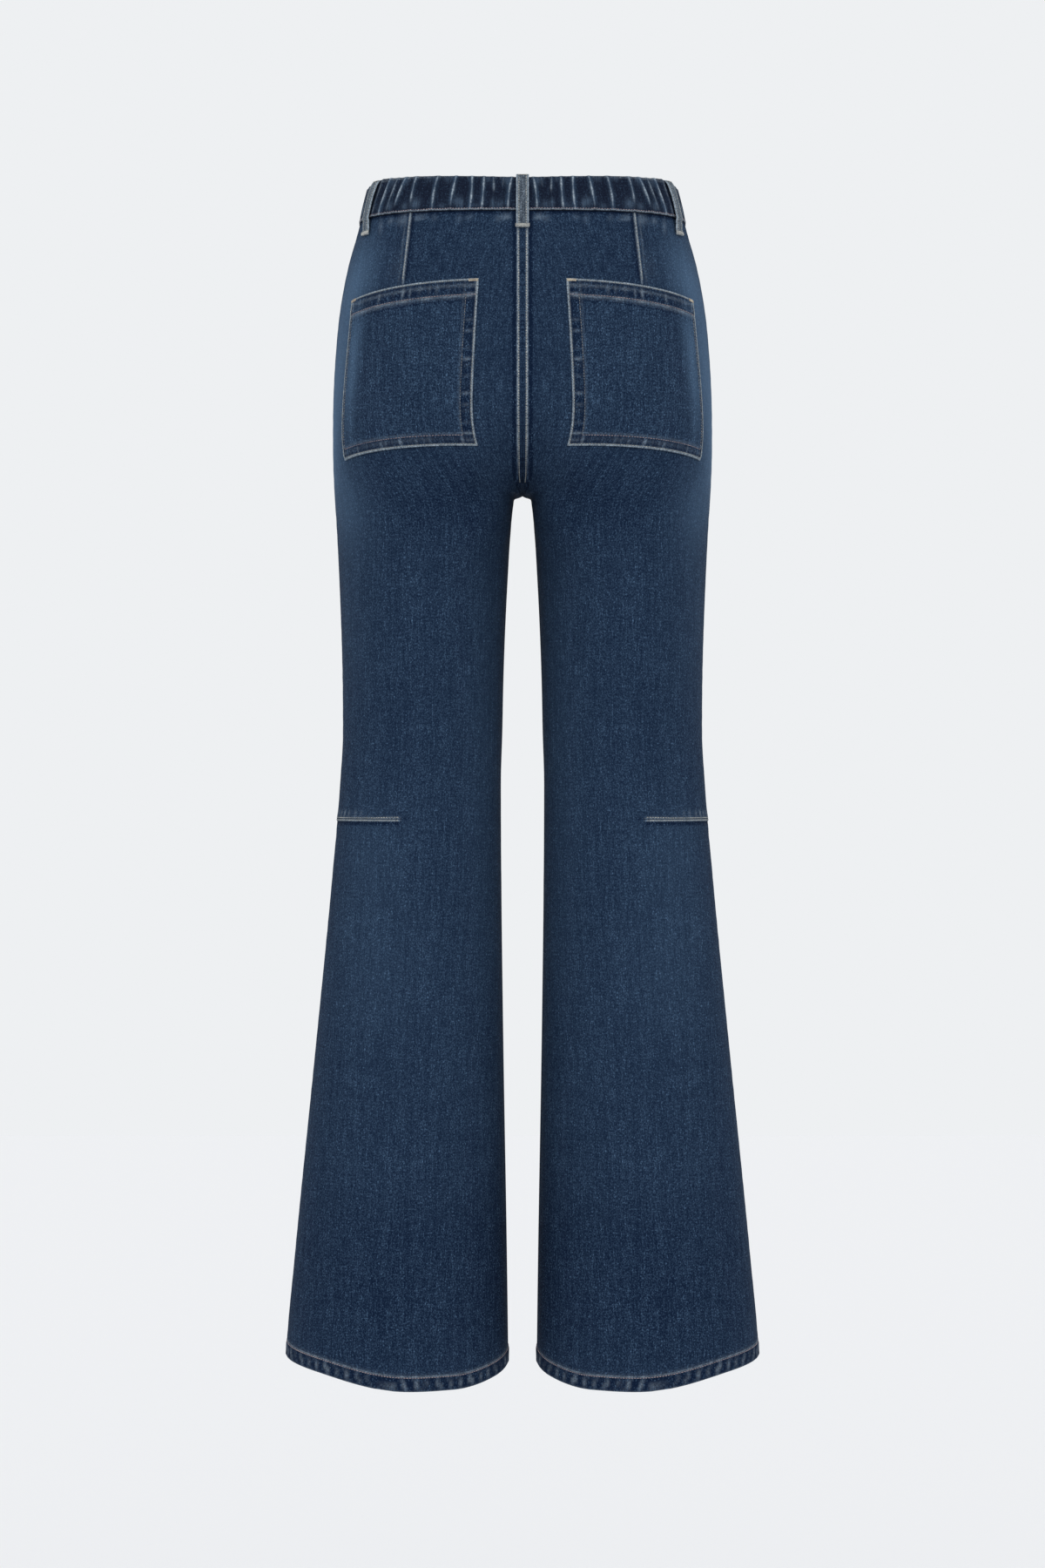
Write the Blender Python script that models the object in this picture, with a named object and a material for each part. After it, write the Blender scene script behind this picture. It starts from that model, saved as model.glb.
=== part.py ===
"""Wide leg jeans with an elastic back waist, in the shape they have when worn, with nobody inside.

All sizes below are millimetres. The jeans hang from the waist: the origin is the middle of the waist,
+Z is up, the front faces -Y and the wearer's left is +X. A drop is a distance below the waist edge.
Every cloth piece lies on one form, which is a stack of half rings. A half ring runs from the side seam
round the back (or the front) to the centre seam, and below the crotch to the inseam.
"""

import math

import bmesh
import bpy
import numpy as np

MM = 0.001

# One row for each section of the form. side_x is the half width at the side seam and inseam_x the
# half gap between the legs. fullest_x is where the section is deepest, by back_y to the back and
# front_y to the front of the side seam's plane. square is the exponent of the outer quarters, 2 for
# an ellipse and more for a squarer round.
SECTION_COLUMNS = ("drop", "side_x", "inseam_x", "fullest_x", "back_y", "front_y", "square")
SECTIONS = (
    (-6, 137.4, 0.0, 12, 91, 89, 2.7),
    (16, 143.0, 0.0, 17, 94, 93, 2.7),
    (34, 147.2, 0.0, 21, 97, 96, 2.6),
    (63, 155.8, 0.0, 29, 105, 101, 2.4),
    (111, 165.1, 0.0, 43, 118, 106, 2.3),
    (150, 168.9, 0.0, 53, 125, 107, 2.2),
    (190, 171.0, 0.0, 63, 127, 107, 2.2),
    (230, 171.4, 0.0, 74, 122, 104, 2.2),
    (276, 169.9, 7.5, 87, 110, 98, 2.1),
    (300, 168.3, 10.3, 89, 104, 95, 2.1),
    (348, 165.9, 13.4, 90, 96, 90, 2.0),
    (442, 162.8, 17.4, 90, 83, 80, 2.0),
    (490, 162.5, 18.4, 90, 76, 75, 2.0),
    (537, 165.1, 19.7, 92, 72, 71, 2.0),
    (632, 173.2, 19.2, 96, 73, 70, 2.0),
    (775, 187.2, 17.4, 102, 77, 73, 2.0),
    (965, 206.2, 14.2, 110, 83, 78, 2.0),
    (1043, 213.3, 13.2, 113, 86, 80, 2.0),
    (1080, 214.6, 12.8, 114, 87, 81, 2.0),
)

CROTCH_DROP = 276.0
RISE_ROUND = {1: 90.0, -1: 80.0}  # height over which the rise seam curves in, back and front
SEAT_DIP = {1: 4.5, -1: 1.0}  # how far the centre seam lies in from the fullest depth
CROTCH_ARCH = 6.0  # drop over which the gap between the legs opens
SEAT_DIP_DROPS = (20, 160)  # the centre seam's dip deepens between these

# The hem's edge, by its share of the half ring from the side seam to the inseam.
HEM_COLUMNS = ("share", "back_drop", "front_drop")
HEM = (
    (0.0, 1052.0, 1052.0),
    (0.25, 1060.5, 1055.0),
    (0.5, 1074.0, 1059.0),
    (0.68, 1074.5, 1060.5),
    (0.85, 1067.5, 1059.5),
    (1.0, 1057.5, 1057.5),
)
HEM_DROP = 1055.0  # level of the hem in the lists of rows below
HEM_STARTS = 860.0  # above this level the rows are horizontal
FRONT_WAIST_DIP = 7.0  # the front of the waist lies this much lower than the back

SEAM_AIR = 0.3  # between two sewn pieces
CLOTH = 1.4  # one layer of denim
HEM_FOLD = 12.0  # depth of the turned hem
FOLD_RISE = 0.7  # what a fold or a lapped seam adds to the cloth
BAND_DROP = 32.0
BAND_FACE = 1.6  # how far the waistband's face stands proud of the form

RAISED_SEAM = 5.0  # half width of the raised seam down the middle of the back
SEAM_STEP = 0.6  # width over which a raised edge steps down to the plain cloth
SEAM_FLATTENS = (300, 340)  # below the crotch the raised seam sinks to a plain one
KNEE_DART_DROP = 569.0
KNEE_DART_LENGTH = 98.0
KNEE_DART_RISE = 1.1
KNEE_DART_STEP = 0.5  # half the drop over which the dart's folded edge steps down
WAIST_DART_RISE = 1.1
WAIST_DART_END = 97.0
WAIST_DART_FADE = 30.0
FLY_LENGTH = 165.0


# ------------------------------------------------------------------ the form

ARC_STEPS = 120  # steps along a half ring when its length is measured
EVEN_REACH = 45  # drops on each side over which a ring's length is evened out
LENGTH_DROPS = np.arange(-10.0, 1101.0)
STRETCH_POWER = 4  # how closely the rest of a ring's length keeps to the centre seam


def table(columns, rows):
    """The columns of a table of numbers, by name."""
    return dict(zip(columns, np.array(rows, dtype=float).T))


SECTION = table(SECTION_COLUMNS, SECTIONS)
HEM_EDGE = table(HEM_COLUMNS, HEM)


def smooth(x, knots, values):
    """Cubic through the knots, with the slope at each knot the weighted mean of its neighbours'."""
    step = np.diff(knots)
    rise = np.diff(values) / step
    slope = np.empty_like(values)
    slope[0], slope[-1] = rise[0], rise[-1]
    slope[1:-1] = (rise[:-1] * step[1:] + rise[1:] * step[:-1]) / (step[:-1] + step[1:])
    turning = rise[:-1] * rise[1:] <= 0
    slope[1:-1][turning] = 0
    i = np.clip(np.searchsorted(knots, x) - 1, 0, len(step) - 1)
    t = np.clip((x - knots[i]) / step[i], 0, 1)
    start = values[i] * (1 + 2 * t) * (1 - t) ** 2 + slope[i] * step[i] * t * (1 - t) ** 2
    end = values[i + 1] * t * t * (3 - 2 * t) - slope[i + 1] * step[i] * t * t * (1 - t)
    return start + end


def section(column, drop):
    return smooth(drop, SECTION["drop"], SECTION[column])


def ramp(x, start, end):
    """0 before start, 1 after end, an S curve between them."""
    t = np.clip((np.asarray(x, dtype=float) - start) / (end - start), 0, 1)
    return t * t * (3 - 2 * t)


def rise_share(face, drop):
    """Depth of the centre seam as a share of the section's depth: 1 at the waist, 0 at the crotch."""
    depth = section("back_y" if face > 0 else "front_y", drop)
    above = np.clip((CROTCH_DROP - drop) / RISE_ROUND[face], 0, 1)
    dip = 1 - SEAT_DIP[face] * ramp(drop, *SEAT_DIP_DROPS) / depth
    return np.sqrt(np.clip(1 - (1 - above) ** 2, 0, 1)) * np.minimum(dip, 0.9995)


def half_ring(face, drop):
    """x and y of ARC_STEPS + 1 points along the half ring at each drop, from the side seam inwards.

    The outer quarter is a superellipse. The inner part is an arc of an ellipse that ends on the
    middle plane above the crotch and runs its whole quarter below it.
    """
    turn = np.linspace(0, 1, ARC_STEPS + 1)
    drop = np.asarray(drop, dtype=float)[..., None]
    side = section("side_x", drop)
    fullest = section("fullest_x", drop)
    depth = section("back_y" if face > 0 else "front_y", drop)
    power = 2 / section("square", drop)
    below = np.clip((drop - CROTCH_DROP) / CROTCH_ARCH, 0, 1)
    inseam = section("inseam_x", drop) * np.sqrt(1 - (1 - below) ** 2)
    end = np.arccos(np.where(drop < CROTCH_DROP, rise_share(face, drop), 0.0))
    outer = np.clip(turn * math.pi, 0, math.pi / 2)
    inner = np.clip(2 * turn - 1, 0, 1) * end
    is_outer = turn <= 0.5
    outer_x = fullest + (side - fullest) * np.clip(np.cos(outer), 0, 1) ** power
    inner_x = fullest - (fullest - inseam) * np.sin(inner) / np.sin(end)
    outer_y = depth * np.clip(np.sin(outer), 0, 1) ** power
    inner_y = depth * np.cos(inner)
    return np.where(is_outer, outer_x, inner_x), face * np.where(is_outer, outer_y, inner_y)


def ring_length(face, drop):
    """Length of the half ring at a drop."""
    x, y = half_ring(face, drop)
    return np.hypot(np.diff(x), np.diff(y)).sum(axis=-1)


def even_lengths(face):
    """The half ring's length at each whole drop, evened out over twice EVEN_REACH."""
    length = ring_length(face, LENGTH_DROPS)
    window = np.hanning(2 * EVEN_REACH + 1)
    padded = np.pad(length, EVEN_REACH, mode="reflect", reflect_type="odd")
    return np.convolve(padded, window / window.sum(), mode="valid")


EVEN_LENGTH = {face: even_lengths(face) for face in (1, -1)}


def distance(face, share, drop):
    """How far along the half ring a share of it lies.

    A column of points keeps a steady course through the crotch, where the ring's own length changes
    quickly, because it follows the evened length, and only the inner end takes up the difference.
    """
    even = np.interp(drop, LENGTH_DROPS, EVEN_LENGTH[face])
    return share * even + (ring_length(face, drop) - even) * share**STRETCH_POWER


def form_at(face, at, drop):
    """Points of the form at a distance along the half ring from the side seam, on the +X side."""
    at, drop = np.broadcast_arrays(np.asarray(at, dtype=float), np.asarray(drop, dtype=float))
    x, y = half_ring(face, drop)
    steps = np.hypot(np.diff(x), np.diff(y))
    length = np.concatenate([np.zeros_like(steps[..., :1]), np.cumsum(steps, axis=-1)], axis=-1)
    at = np.clip(at, 0, length[..., -1])
    i = np.clip((length <= at[..., None]).sum(axis=-1) - 1, 0, ARC_STEPS - 1)[..., None]
    start, stop = np.take_along_axis(length, i, -1), np.take_along_axis(length, i + 1, -1)
    t = (at[..., None] - start) / np.maximum(stop - start, 1e-9)
    flat = [
        (np.take_along_axis(v, i, -1) * (1 - t) + np.take_along_axis(v, i + 1, -1) * t)[..., 0]
        for v in (x, y)
    ]
    return np.stack([flat[0], flat[1], -drop], axis=-1)


def outward(face, at, drop):
    """Unit normals of the form, pointing out of the cloth, from differences along and across it."""
    at, drop = np.broadcast_arrays(np.asarray(at, dtype=float), np.asarray(drop, dtype=float))
    inside = np.clip(at, 1.0, ring_length(face, drop) - 1.0)
    around = form_at(face, inside - 1.0, drop) - form_at(face, inside + 1.0, drop)
    down = form_at(face, at, drop + 0.5) - form_at(face, at, drop - 0.5)
    normal = np.cross(around, down) * face
    return normal / np.linalg.norm(normal, axis=-1, keepdims=True)


def hem_level(face, share, level):
    """Drop of a row's points: the rows bend from horizontal to the hem's edge on the way down."""
    edge = smooth(share, HEM_EDGE["share"], HEM_EDGE["back_drop" if face > 0 else "front_drop"])
    return level + (edge - HEM_DROP) * ramp(level, HEM_STARTS, HEM_DROP)


def waist_level(face, share, level):
    """Drop of a point near the waist, whose edge dips towards the middle of the front."""
    dip = FRONT_WAIST_DIP * ramp(share, 0, 1) if face < 0 else 0.0
    return level + dip * (1 - ramp(level, 40, 140))


def cloth(side, face, share, level, shift=0.0, lift=0.0, apart=SEAM_AIR / 2):
    """Points on the left (side 1) or right (side -1) half, moved out of the form by lift.

    share is along the half ring from the side seam and shift is added to it in millimetres.
    """
    drop = hem_level(face, share, waist_level(face, share, level))
    at = distance(face, share, drop) + shift
    point = form_at(face, at, drop) + np.asarray(lift)[..., None] * outward(face, at, drop)
    point[..., 0] = side * (np.maximum(point[..., 0], 0) + apart)
    return point


# ------------------------------------------------------------------ meshes and materials

MATERIALS = {}


def finish(name, colour, roughness, metallic=0.0):
    """One Principled material for each finish."""
    if name not in MATERIALS:
        material = bpy.data.materials.new(name)
        material.use_nodes = True
        shader = material.node_tree.nodes["Principled BSDF"]
        shader.inputs["Base Color"].default_value = (*colour, 1)
        shader.inputs["Roughness"].default_value = roughness
        shader.inputs["Metallic"].default_value = metallic
        MATERIALS[name] = material
    return MATERIALS[name]


def denim():
    return finish("denim", (0.021, 0.038, 0.072), 0.9)


def denim_band():
    return finish("denim_band", (0.013, 0.020, 0.040), 0.9)


def metal():
    return finish("button_metal", (0.42, 0.34, 0.24), 0.4, 1.0)


def add_object(name, vertices, faces, material, smooth_angle=40):
    """A named object from vertices in millimetres, its faces turned outwards."""
    mesh = bpy.data.meshes.new(name)
    mesh.from_pydata((np.asarray(vertices) * MM).tolist(), [], faces)
    working = bmesh.new()
    working.from_mesh(mesh)
    bmesh.ops.recalc_face_normals(working, faces=working.faces)
    working.to_mesh(mesh)
    working.free()
    mesh.shade_smooth()
    mesh.set_sharp_from_angle(angle=math.radians(smooth_angle))
    mesh.materials.append(material)
    thing = bpy.data.objects.new(name, mesh)
    bpy.context.collection.objects.link(thing)
    return thing


def wall(name, outer, inner, material):
    """A closed wall between two grids of rows by columns, joined round their edges."""
    rows, columns = outer.shape[:2]
    index = np.arange(rows * columns).reshape(rows, columns)
    back = index + rows * columns
    faces = []
    for r in range(rows - 1):
        for c in range(columns - 1):
            faces.append((index[r, c], index[r, c + 1], index[r + 1, c + 1], index[r + 1, c]))
            faces.append((back[r, c], back[r + 1, c], back[r + 1, c + 1], back[r, c + 1]))
    edge = [(0, c) for c in range(columns)]
    edge += [(r, columns - 1) for r in range(1, rows)]
    edge += [(rows - 1, c) for c in range(columns - 2, -1, -1)]
    edge += [(r, 0) for r in range(rows - 2, 0, -1)]
    for a, b in zip(edge, edge[1:] + edge[:1]):
        faces.append((index[a], back[a], back[b], index[b]))
    faces = [tuple(int(i) for i in face) for face in faces]
    vertices = np.concatenate([outer.reshape(-1, 3), inner.reshape(-1, 3)])
    return add_object(name, vertices, faces, material)


def swept(name, profiles, material):
    """A closed solid from profiles (stations by corners), each joined to the next, capped at both ends."""
    stations, corners = profiles.shape[:2]
    index = np.arange(stations * corners).reshape(stations, corners)
    faces = []
    for s in range(stations - 1):
        for c in range(corners):
            d = (c + 1) % corners
            faces.append((index[s, c], index[s, d], index[s + 1, d], index[s + 1, c]))
    faces.append(tuple(index[0][::-1]))
    faces.append(tuple(index[-1]))
    faces = [tuple(int(i) for i in face) for face in faces]
    return add_object(name, profiles.reshape(-1, 3), faces, material)


# ------------------------------------------------------------------ front and back panels

# Levels of the rows of points, as drops at the inner seams.
TOP_LEVELS = (BAND_DROP + SEAM_AIR, 44, 60, 78, 97, 120, 145, 170)
CROTCH_LEVELS = (195, 218, 236, 250, 260, 267, 272, 275, CROTCH_DROP, 277, 279, 283, 290, 302, 326)
THIGH_LEVELS = (350, 380, 420, 460, 500, 538)
DART_LEVELS = (556, KNEE_DART_DROP - KNEE_DART_STEP, KNEE_DART_DROP + KNEE_DART_STEP, 582)
SHIN_LEVELS = (600, 650, 715, 785, 860, 930, 1000)
HEM_TOP = HEM_DROP - HEM_FOLD
HEM_STEP = 1.5  # drop over which the turned hem thickens
HEM_LEVELS = (HEM_TOP - HEM_STEP, HEM_TOP, HEM_DROP)

# Columns by their share of the half ring, and a shift along it. The back has two at the waist dart.
SIDE_SHARES = ((0, 0.0), (0.105, 0.0), (0.21, 0.0), (0.315, 0.0), (0.42, 0.0))
DART_SHARES = ((0.5, -0.4), (0.5, 0.4))
MIDDLE_SHARES = ((0.53, 0.0),)
INNER_SHARES = ((0.64, 0.0), (0.74, 0.0), (0.83, 0.0), (0.91, 0.0))
SEAM_SHARES = ((1, -RAISED_SEAM - SEAM_STEP), (1, -RAISED_SEAM), (1, 0.0))
WAIST_DART = ((30, 0.514), (100, 0.54))  # drop and share of the half ring at the dart's two ends
DART_PARTS = (97, 170)  # below the waist dart its two columns part between these levels
DART_PARTING = 9.0
FAN_SHARES = (0.35, 0.97)  # between these the rows bunched at the crotch spread out
PLAIN_SEAM = 0.4  # what a plain seam rises, as a share of a raised one


def waist_dart_share(level):
    """Share of the half ring at which the dart's folded edge lies."""
    (top, top_share), (foot, foot_share) = WAIST_DART
    return top_share + (foot_share - top_share) * ramp(level, top, foot)


def fanned(share, level):
    """The rows crowded together at the crotch fan out evenly towards the side seam."""
    first, last = CROTCH_LEVELS[0], CROTCH_LEVELS[-1]
    even = np.interp(level, CROTCH_LEVELS, np.linspace(first, last, len(CROTCH_LEVELS)))
    fan = (1 - ramp(share, *FAN_SHARES)) * ((level > first) & (level < last))
    return level + (even - level) * fan


def panel(side, face):
    """One leg from waistband to hem, front or back, up to the side, centre and inside seams."""
    back = face > 0
    knee = DART_LEVELS if back else (KNEE_DART_DROP,)
    levels = TOP_LEVELS + CROTCH_LEVELS + THIGH_LEVELS + knee + SHIN_LEVELS + HEM_LEVELS
    columns = SIDE_SHARES + (DART_SHARES if back else MIDDLE_SHARES) + INNER_SHARES + SEAM_SHARES
    share, level = np.meshgrid([c[0] for c in columns], np.array(levels, dtype=float))
    level = fanned(share, level)
    shift = np.broadcast_to([c[1] for c in columns], share.shape).copy()
    at_dart = (share == DART_SHARES[0][0]) & back
    share = np.where(at_dart, waist_dart_share(level), share)
    shift += np.where(at_dart, np.sign(shift) * DART_PARTING * ramp(level, *DART_PARTS), 0)
    # Room for the side seam all the way, and for the inseam below the crotch.
    shift[:, 0] += SEAM_AIR / 2
    shift[:, -1] -= np.where(level[:, -1] >= CROTCH_DROP, SEAM_AIR / 2, 0)

    hem = FOLD_RISE * ramp(level, HEM_TOP - HEM_STEP, HEM_TOP)
    raised = np.where((share == 1) & (shift >= -RAISED_SEAM), FOLD_RISE, 0.0)
    if back:
        lift = raised * (1 - (1 - PLAIN_SEAM) * ramp(level, *SEAM_FLATTENS))
        from_side = distance(face, share, level) + shift
        dart = KNEE_DART_RISE * np.sqrt(np.clip(1 - from_side / KNEE_DART_LENGTH, 0, 1))
        lift += np.where(level == KNEE_DART_DROP - KNEE_DART_STEP, dart, 0)
        waist = WAIST_DART_RISE * (1 - ramp(level, WAIST_DART_END - WAIST_DART_FADE, WAIST_DART_END + 1))
        lift += np.where(at_dart & (shift < 0), waist, 0)
    else:
        on_fly = (side > 0) & (level < FLY_LENGTH)
        lift = np.where(on_fly, raised, PLAIN_SEAM * raised)
    outer = cloth(side, face, share, level, shift, lift + hem)
    inner = cloth(side, face, share, level, shift, -CLOTH - hem)
    name = ("back" if back else "front") + ("_panel_left" if side > 0 else "_panel_right")
    return wall(name, outer, inner, denim())


# ------------------------------------------------------------------ waistband

# Crests of the gathered elastic, by distance from the middle of the back at mid height. lean is how
# far the lower end lies outwards of the upper end.
GATHER_COLUMNS = ("from_centre", "height", "lean", "width")
GATHERS = (
    (11, 2.0, 3.0, 2.6),
    (17, 1.0, 0.0, 2.0),
    (26, 1.4, -0.8, 2.4),
    (35, 1.9, 0.4, 2.6),
    (45.5, 2.0, 0.0, 2.4),
    (61, 2.3, 3.0, 3.0),
    (77, 2.2, 1.5, 3.4),
    (99, 2.0, 0.6, 3.4),
    (112, 2.4, 7.0, 3.0),
    (127, 1.9, 6.5, 2.8),
    (136, 2.2, 6.0, 2.8),
    (152, 1.8, 4.0, 2.8),
    (166, 1.6, 2.0, 2.8),
    (180, 1.2, 0.0, 2.8),
)
GATHER = table(GATHER_COLUMNS, GATHERS)
GATHER_ENDS = 0.45  # height of a crest at the band's two edges, as a share of its middle
CREST_FOOT = 1.3  # widths from a crest to the point where its foot is drawn
LEAST_STATION = 1.6  # shortest step along the band

# The band's cross-section: how far each corner lies out of the form, and its share of the gathers.
BAND_COLUMNS = ("drop", "lift", "gathered")
BACK_BAND = (
    (BAND_DROP, 0.9, 0.2),
    (27.5, 1.6, 0.9),
    (17.0, 1.9, 1.0),
    (6.0, 1.7, 1.0),
    (0.6, 0.7, 0.6),
    (0.6, -2.2, -0.35),
    (BAND_DROP, -2.2, 0.0),
)
FRONT_BAND = (
    (BAND_DROP, 0.9, 0.0),
    (29.0, BAND_FACE, 0.0),
    (16.0, BAND_FACE, 0.0),
    (3.0, BAND_FACE, 0.0),
    (0.3, 0.5, 0.0),
    (0.3, -BAND_FACE, 0.0),
    (BAND_DROP, -BAND_FACE, 0.0),
)
FRONT_STATIONS = 15


def gather_lift(at, drop):
    """Height of the gathers at a distance from the middle of the back: a rounded crest at each."""
    off_middle = drop / (BAND_DROP / 2) - 1
    crest_at = GATHER["from_centre"] + GATHER["lean"] * off_middle[..., None] / 2
    away = np.abs(at)[..., None] - crest_at
    crest = GATHER["height"] * np.exp(-((away / GATHER["width"]) ** 2))
    fade = 1 - (1 - GATHER_ENDS) * np.abs(off_middle) ** 3
    return crest.sum(axis=-1) * fade


def gather_stations(half):
    """Distances from the middle of the back: each crest, its two feet, and the end of the band."""
    marks = [0.0, half]
    for centre, width in zip(GATHER["from_centre"], GATHER["width"]):
        marks += [centre - CREST_FOOT * width, centre, centre + CREST_FOOT * width]
    kept = []
    for mark in sorted(marks):
        if not kept or mark - kept[-1] > LEAST_STATION:
            kept.append(mark)
    kept[-1] = half
    return np.array(kept)


def band_half(face):
    """Length of half the band, measured along its middle."""
    return float(ring_length(face, np.array(BAND_DROP / 2)))


def back_waistband():
    """The elastic back of the waistband, from side seam to side seam, with its gathers."""
    half = band_half(1)
    marks = gather_stations(half)
    signed = np.concatenate([-marks[:0:-1], marks])[:, None]
    signed[0] += SEAM_AIR / 2
    signed[-1] -= SEAM_AIR / 2
    corner = table(BAND_COLUMNS, BACK_BAND)
    from_middle, drop = np.broadcast_arrays(signed, corner["drop"])
    lift = corner["lift"] + corner["gathered"] * gather_lift(from_middle, drop)
    ring = cloth(1, 1, 1 - np.abs(from_middle) / half, drop, lift=lift, apart=0.0)
    ring[..., 0] *= np.where(signed < 0, -1.0, 1.0)
    return swept("waistband_back", ring, denim_band())


def front_waistband(side):
    """One front half of the waistband, flat, from the side seam to the middle of the front."""
    shares = np.linspace(0, 1, FRONT_STATIONS)[:, None]
    shares[0] = SEAM_AIR / 2 / band_half(-1)
    corner = table(BAND_COLUMNS, FRONT_BAND)
    share, drop = np.broadcast_arrays(shares, corner["drop"])
    ring = cloth(side, -1, share, drop, lift=np.broadcast_to(corner["lift"], share.shape))
    return swept("waistband_front_left" if side > 0 else "waistband_front_right", ring, denim_band())


# ------------------------------------------------------------------ belt loops

LOOP_WIDTH = 12.0
LOOP_COLUMNS = ("side", "face", "from_centre_top", "from_centre_foot")
LOOPS = {
    "belt_loop_back": (1, 1, 0.0, 0.0),
    "belt_loop_side_left": (1, 1, 140.0, 154.0),
    "belt_loop_side_right": (-1, 1, 140.0, 154.0),
    "belt_loop_front_left": (1, -1, 88.0, 90.0),
    "belt_loop_front_right": (-1, -1, 88.0, 90.0),
}

# The strip's run down over the band: how far its underside lies out of the form on a flat band.
LOOP_RUN_COLUMNS = ("drop", "lift")
LOOP_RUN = (
    (-1.2, 2.9),
    (1.5, 3.9),
    (5.0, 4.4),
    (10.0, 4.8),
    (16.0, 5.0),
    (22.0, 5.1),
    (28.0, 5.0),
    (33.5, 4.8),
    (37.5, 3.4),
    (42.0, 0.5),
    (48.0, 0.5),
)
LOOP_ON_BACK = 0.6  # the gathered band stands this much further out than the flat one
LOOP_FOOT = 40.0  # below this drop the strip is sewn down

# The strip's cross-section, with its rounded edges, across in widths and height in millimetres.
LOOP_SECTION_COLUMNS = ("across", "height")
LOOP_SECTION = (
    (-0.5, 0.35),
    (-0.42, 0.0),
    (0.42, 0.0),
    (0.5, 0.35),
    (0.5, 1.25),
    (0.42, 1.7),
    (-0.42, 1.7),
    (-0.5, 1.25),
)


def belt_loop(name):
    """A folded strip sewn down over the waistband's top edge and below its lower seam."""
    loop = dict(zip(LOOP_COLUMNS, LOOPS[name]))
    side, face = loop["side"], loop["face"]
    top, foot = loop["from_centre_top"], loop["from_centre_foot"]
    run = table(LOOP_RUN_COLUMNS, LOOP_RUN)
    corner = table(LOOP_SECTION_COLUMNS, LOOP_SECTION)
    drops, under = run["drop"], run["lift"]
    if face > 0:
        on_band = LOOP_ON_BACK + gather_lift(np.full_like(drops, top), drops)
        under = under + np.where(drops < BAND_DROP, on_band, 0)
    if top == 0:
        under = under + np.where(drops > LOOP_FOOT, FOLD_RISE, 0)
    centre = top + (foot - top) * np.clip(drops / drops[-1], 0, 1)
    at = centre[:, None] + corner["across"] * LOOP_WIDTH
    drop = np.broadcast_to(drops[:, None], at.shape)
    lift = under[:, None] + corner["height"]
    ring = cloth(1, face, np.ones_like(at), drop, -np.abs(at), lift, apart=0.0)
    ring[..., 0] *= np.where(at < 0, -side, side)
    return swept(name, ring, denim())


# ------------------------------------------------------------------ back pockets

# The pocket's outline on the panel: distance from the middle of the back and drop of its corners.
POCKET_CORNERS = {
    "top_inner": (38.3, 94.3),
    "top_outer": (172.9, 107.4),
    "foot_inner": (45.2, 240.4),
    "foot_outer": (191.6, 249.9),
}
POCKET_BOW = {"inner": 0.8, "outer": 2.4, "top": 2.0}  # the uprights bow outwards, the rest upwards
POCKET_CLOTH = 1.3
POCKET_AIR = 0.45  # between the pocket and the panel
POCKET_HEM = 0.095  # depth of the turned hem along the top, as a share of the height
POCKET_HEM_RISE = 0.6
POCKET_ROUND = 0.5  # how much the outer face falls at the edges
POCKET_ROUND_SHARE = 0.03
POCKET_ACROSS = (0, 0.03, 0.1, 0.18, 0.26, 0.34, 0.42, 0.5, 0.58, 0.66, 0.74, 0.82, 0.9, 0.97, 1)
POCKET_DOWN = (0, 0.02, 0.088, 0.1, 0.2, 0.3, 0.4, 0.49, 0.58, 0.68, 0.77, 0.86, 0.93, 0.98, 1)


def pocket_point(across, down):
    """Distance from the middle of the back and drop of a point of the pocket, from its two shares."""
    corner = {name: np.array(at) for name, at in POCKET_CORNERS.items()}
    upright = 4 * down * (1 - down)
    level = 4 * across * (1 - across)
    inner = corner["top_inner"] + down[..., None] * (corner["foot_inner"] - corner["top_inner"])
    outer = corner["top_outer"] + down[..., None] * (corner["foot_outer"] - corner["top_outer"])
    inner[..., 0] += POCKET_BOW["inner"] * upright
    outer[..., 0] += POCKET_BOW["outer"] * upright
    point = inner + across[..., None] * (outer - inner)
    return point[..., 0], point[..., 1] - POCKET_BOW["top"] * level


def pocket(side):
    """A patch pocket on the back panel's own points, its turned hem thicker along the top."""
    across, down = np.meshgrid(POCKET_ACROSS, POCKET_DOWN)
    at, drop = pocket_point(across, down)
    hem = np.where(down < POCKET_HEM, POCKET_HEM_RISE, 0.0)
    to_edge = np.minimum(np.minimum(across, 1 - across), np.minimum(down, 1 - down))
    fall = POCKET_ROUND * (1 - np.clip(to_edge / POCKET_ROUND_SHARE, 0, 1))
    share = np.ones_like(at)
    outer = cloth(side, 1, share, drop, -at, POCKET_AIR + POCKET_CLOTH + hem - fall)
    inner = cloth(side, 1, share, drop, -at, np.full_like(at, POCKET_AIR))
    return wall("back_pocket_left" if side > 0 else "back_pocket_right", outer, inner, denim())


# ------------------------------------------------------------------ button

BUTTON_FROM_CENTRE = 15.0
BUTTON_COLUMNS = ("radius", "height")
BUTTON_PROFILE = (
    (5.6, 3.6),
    (7.6, 3.2),
    (8.5, 2.1),
    (7.9, 1.3),
    (3.0, 0.0),
)
BUTTON_STEPS = 24


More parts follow.
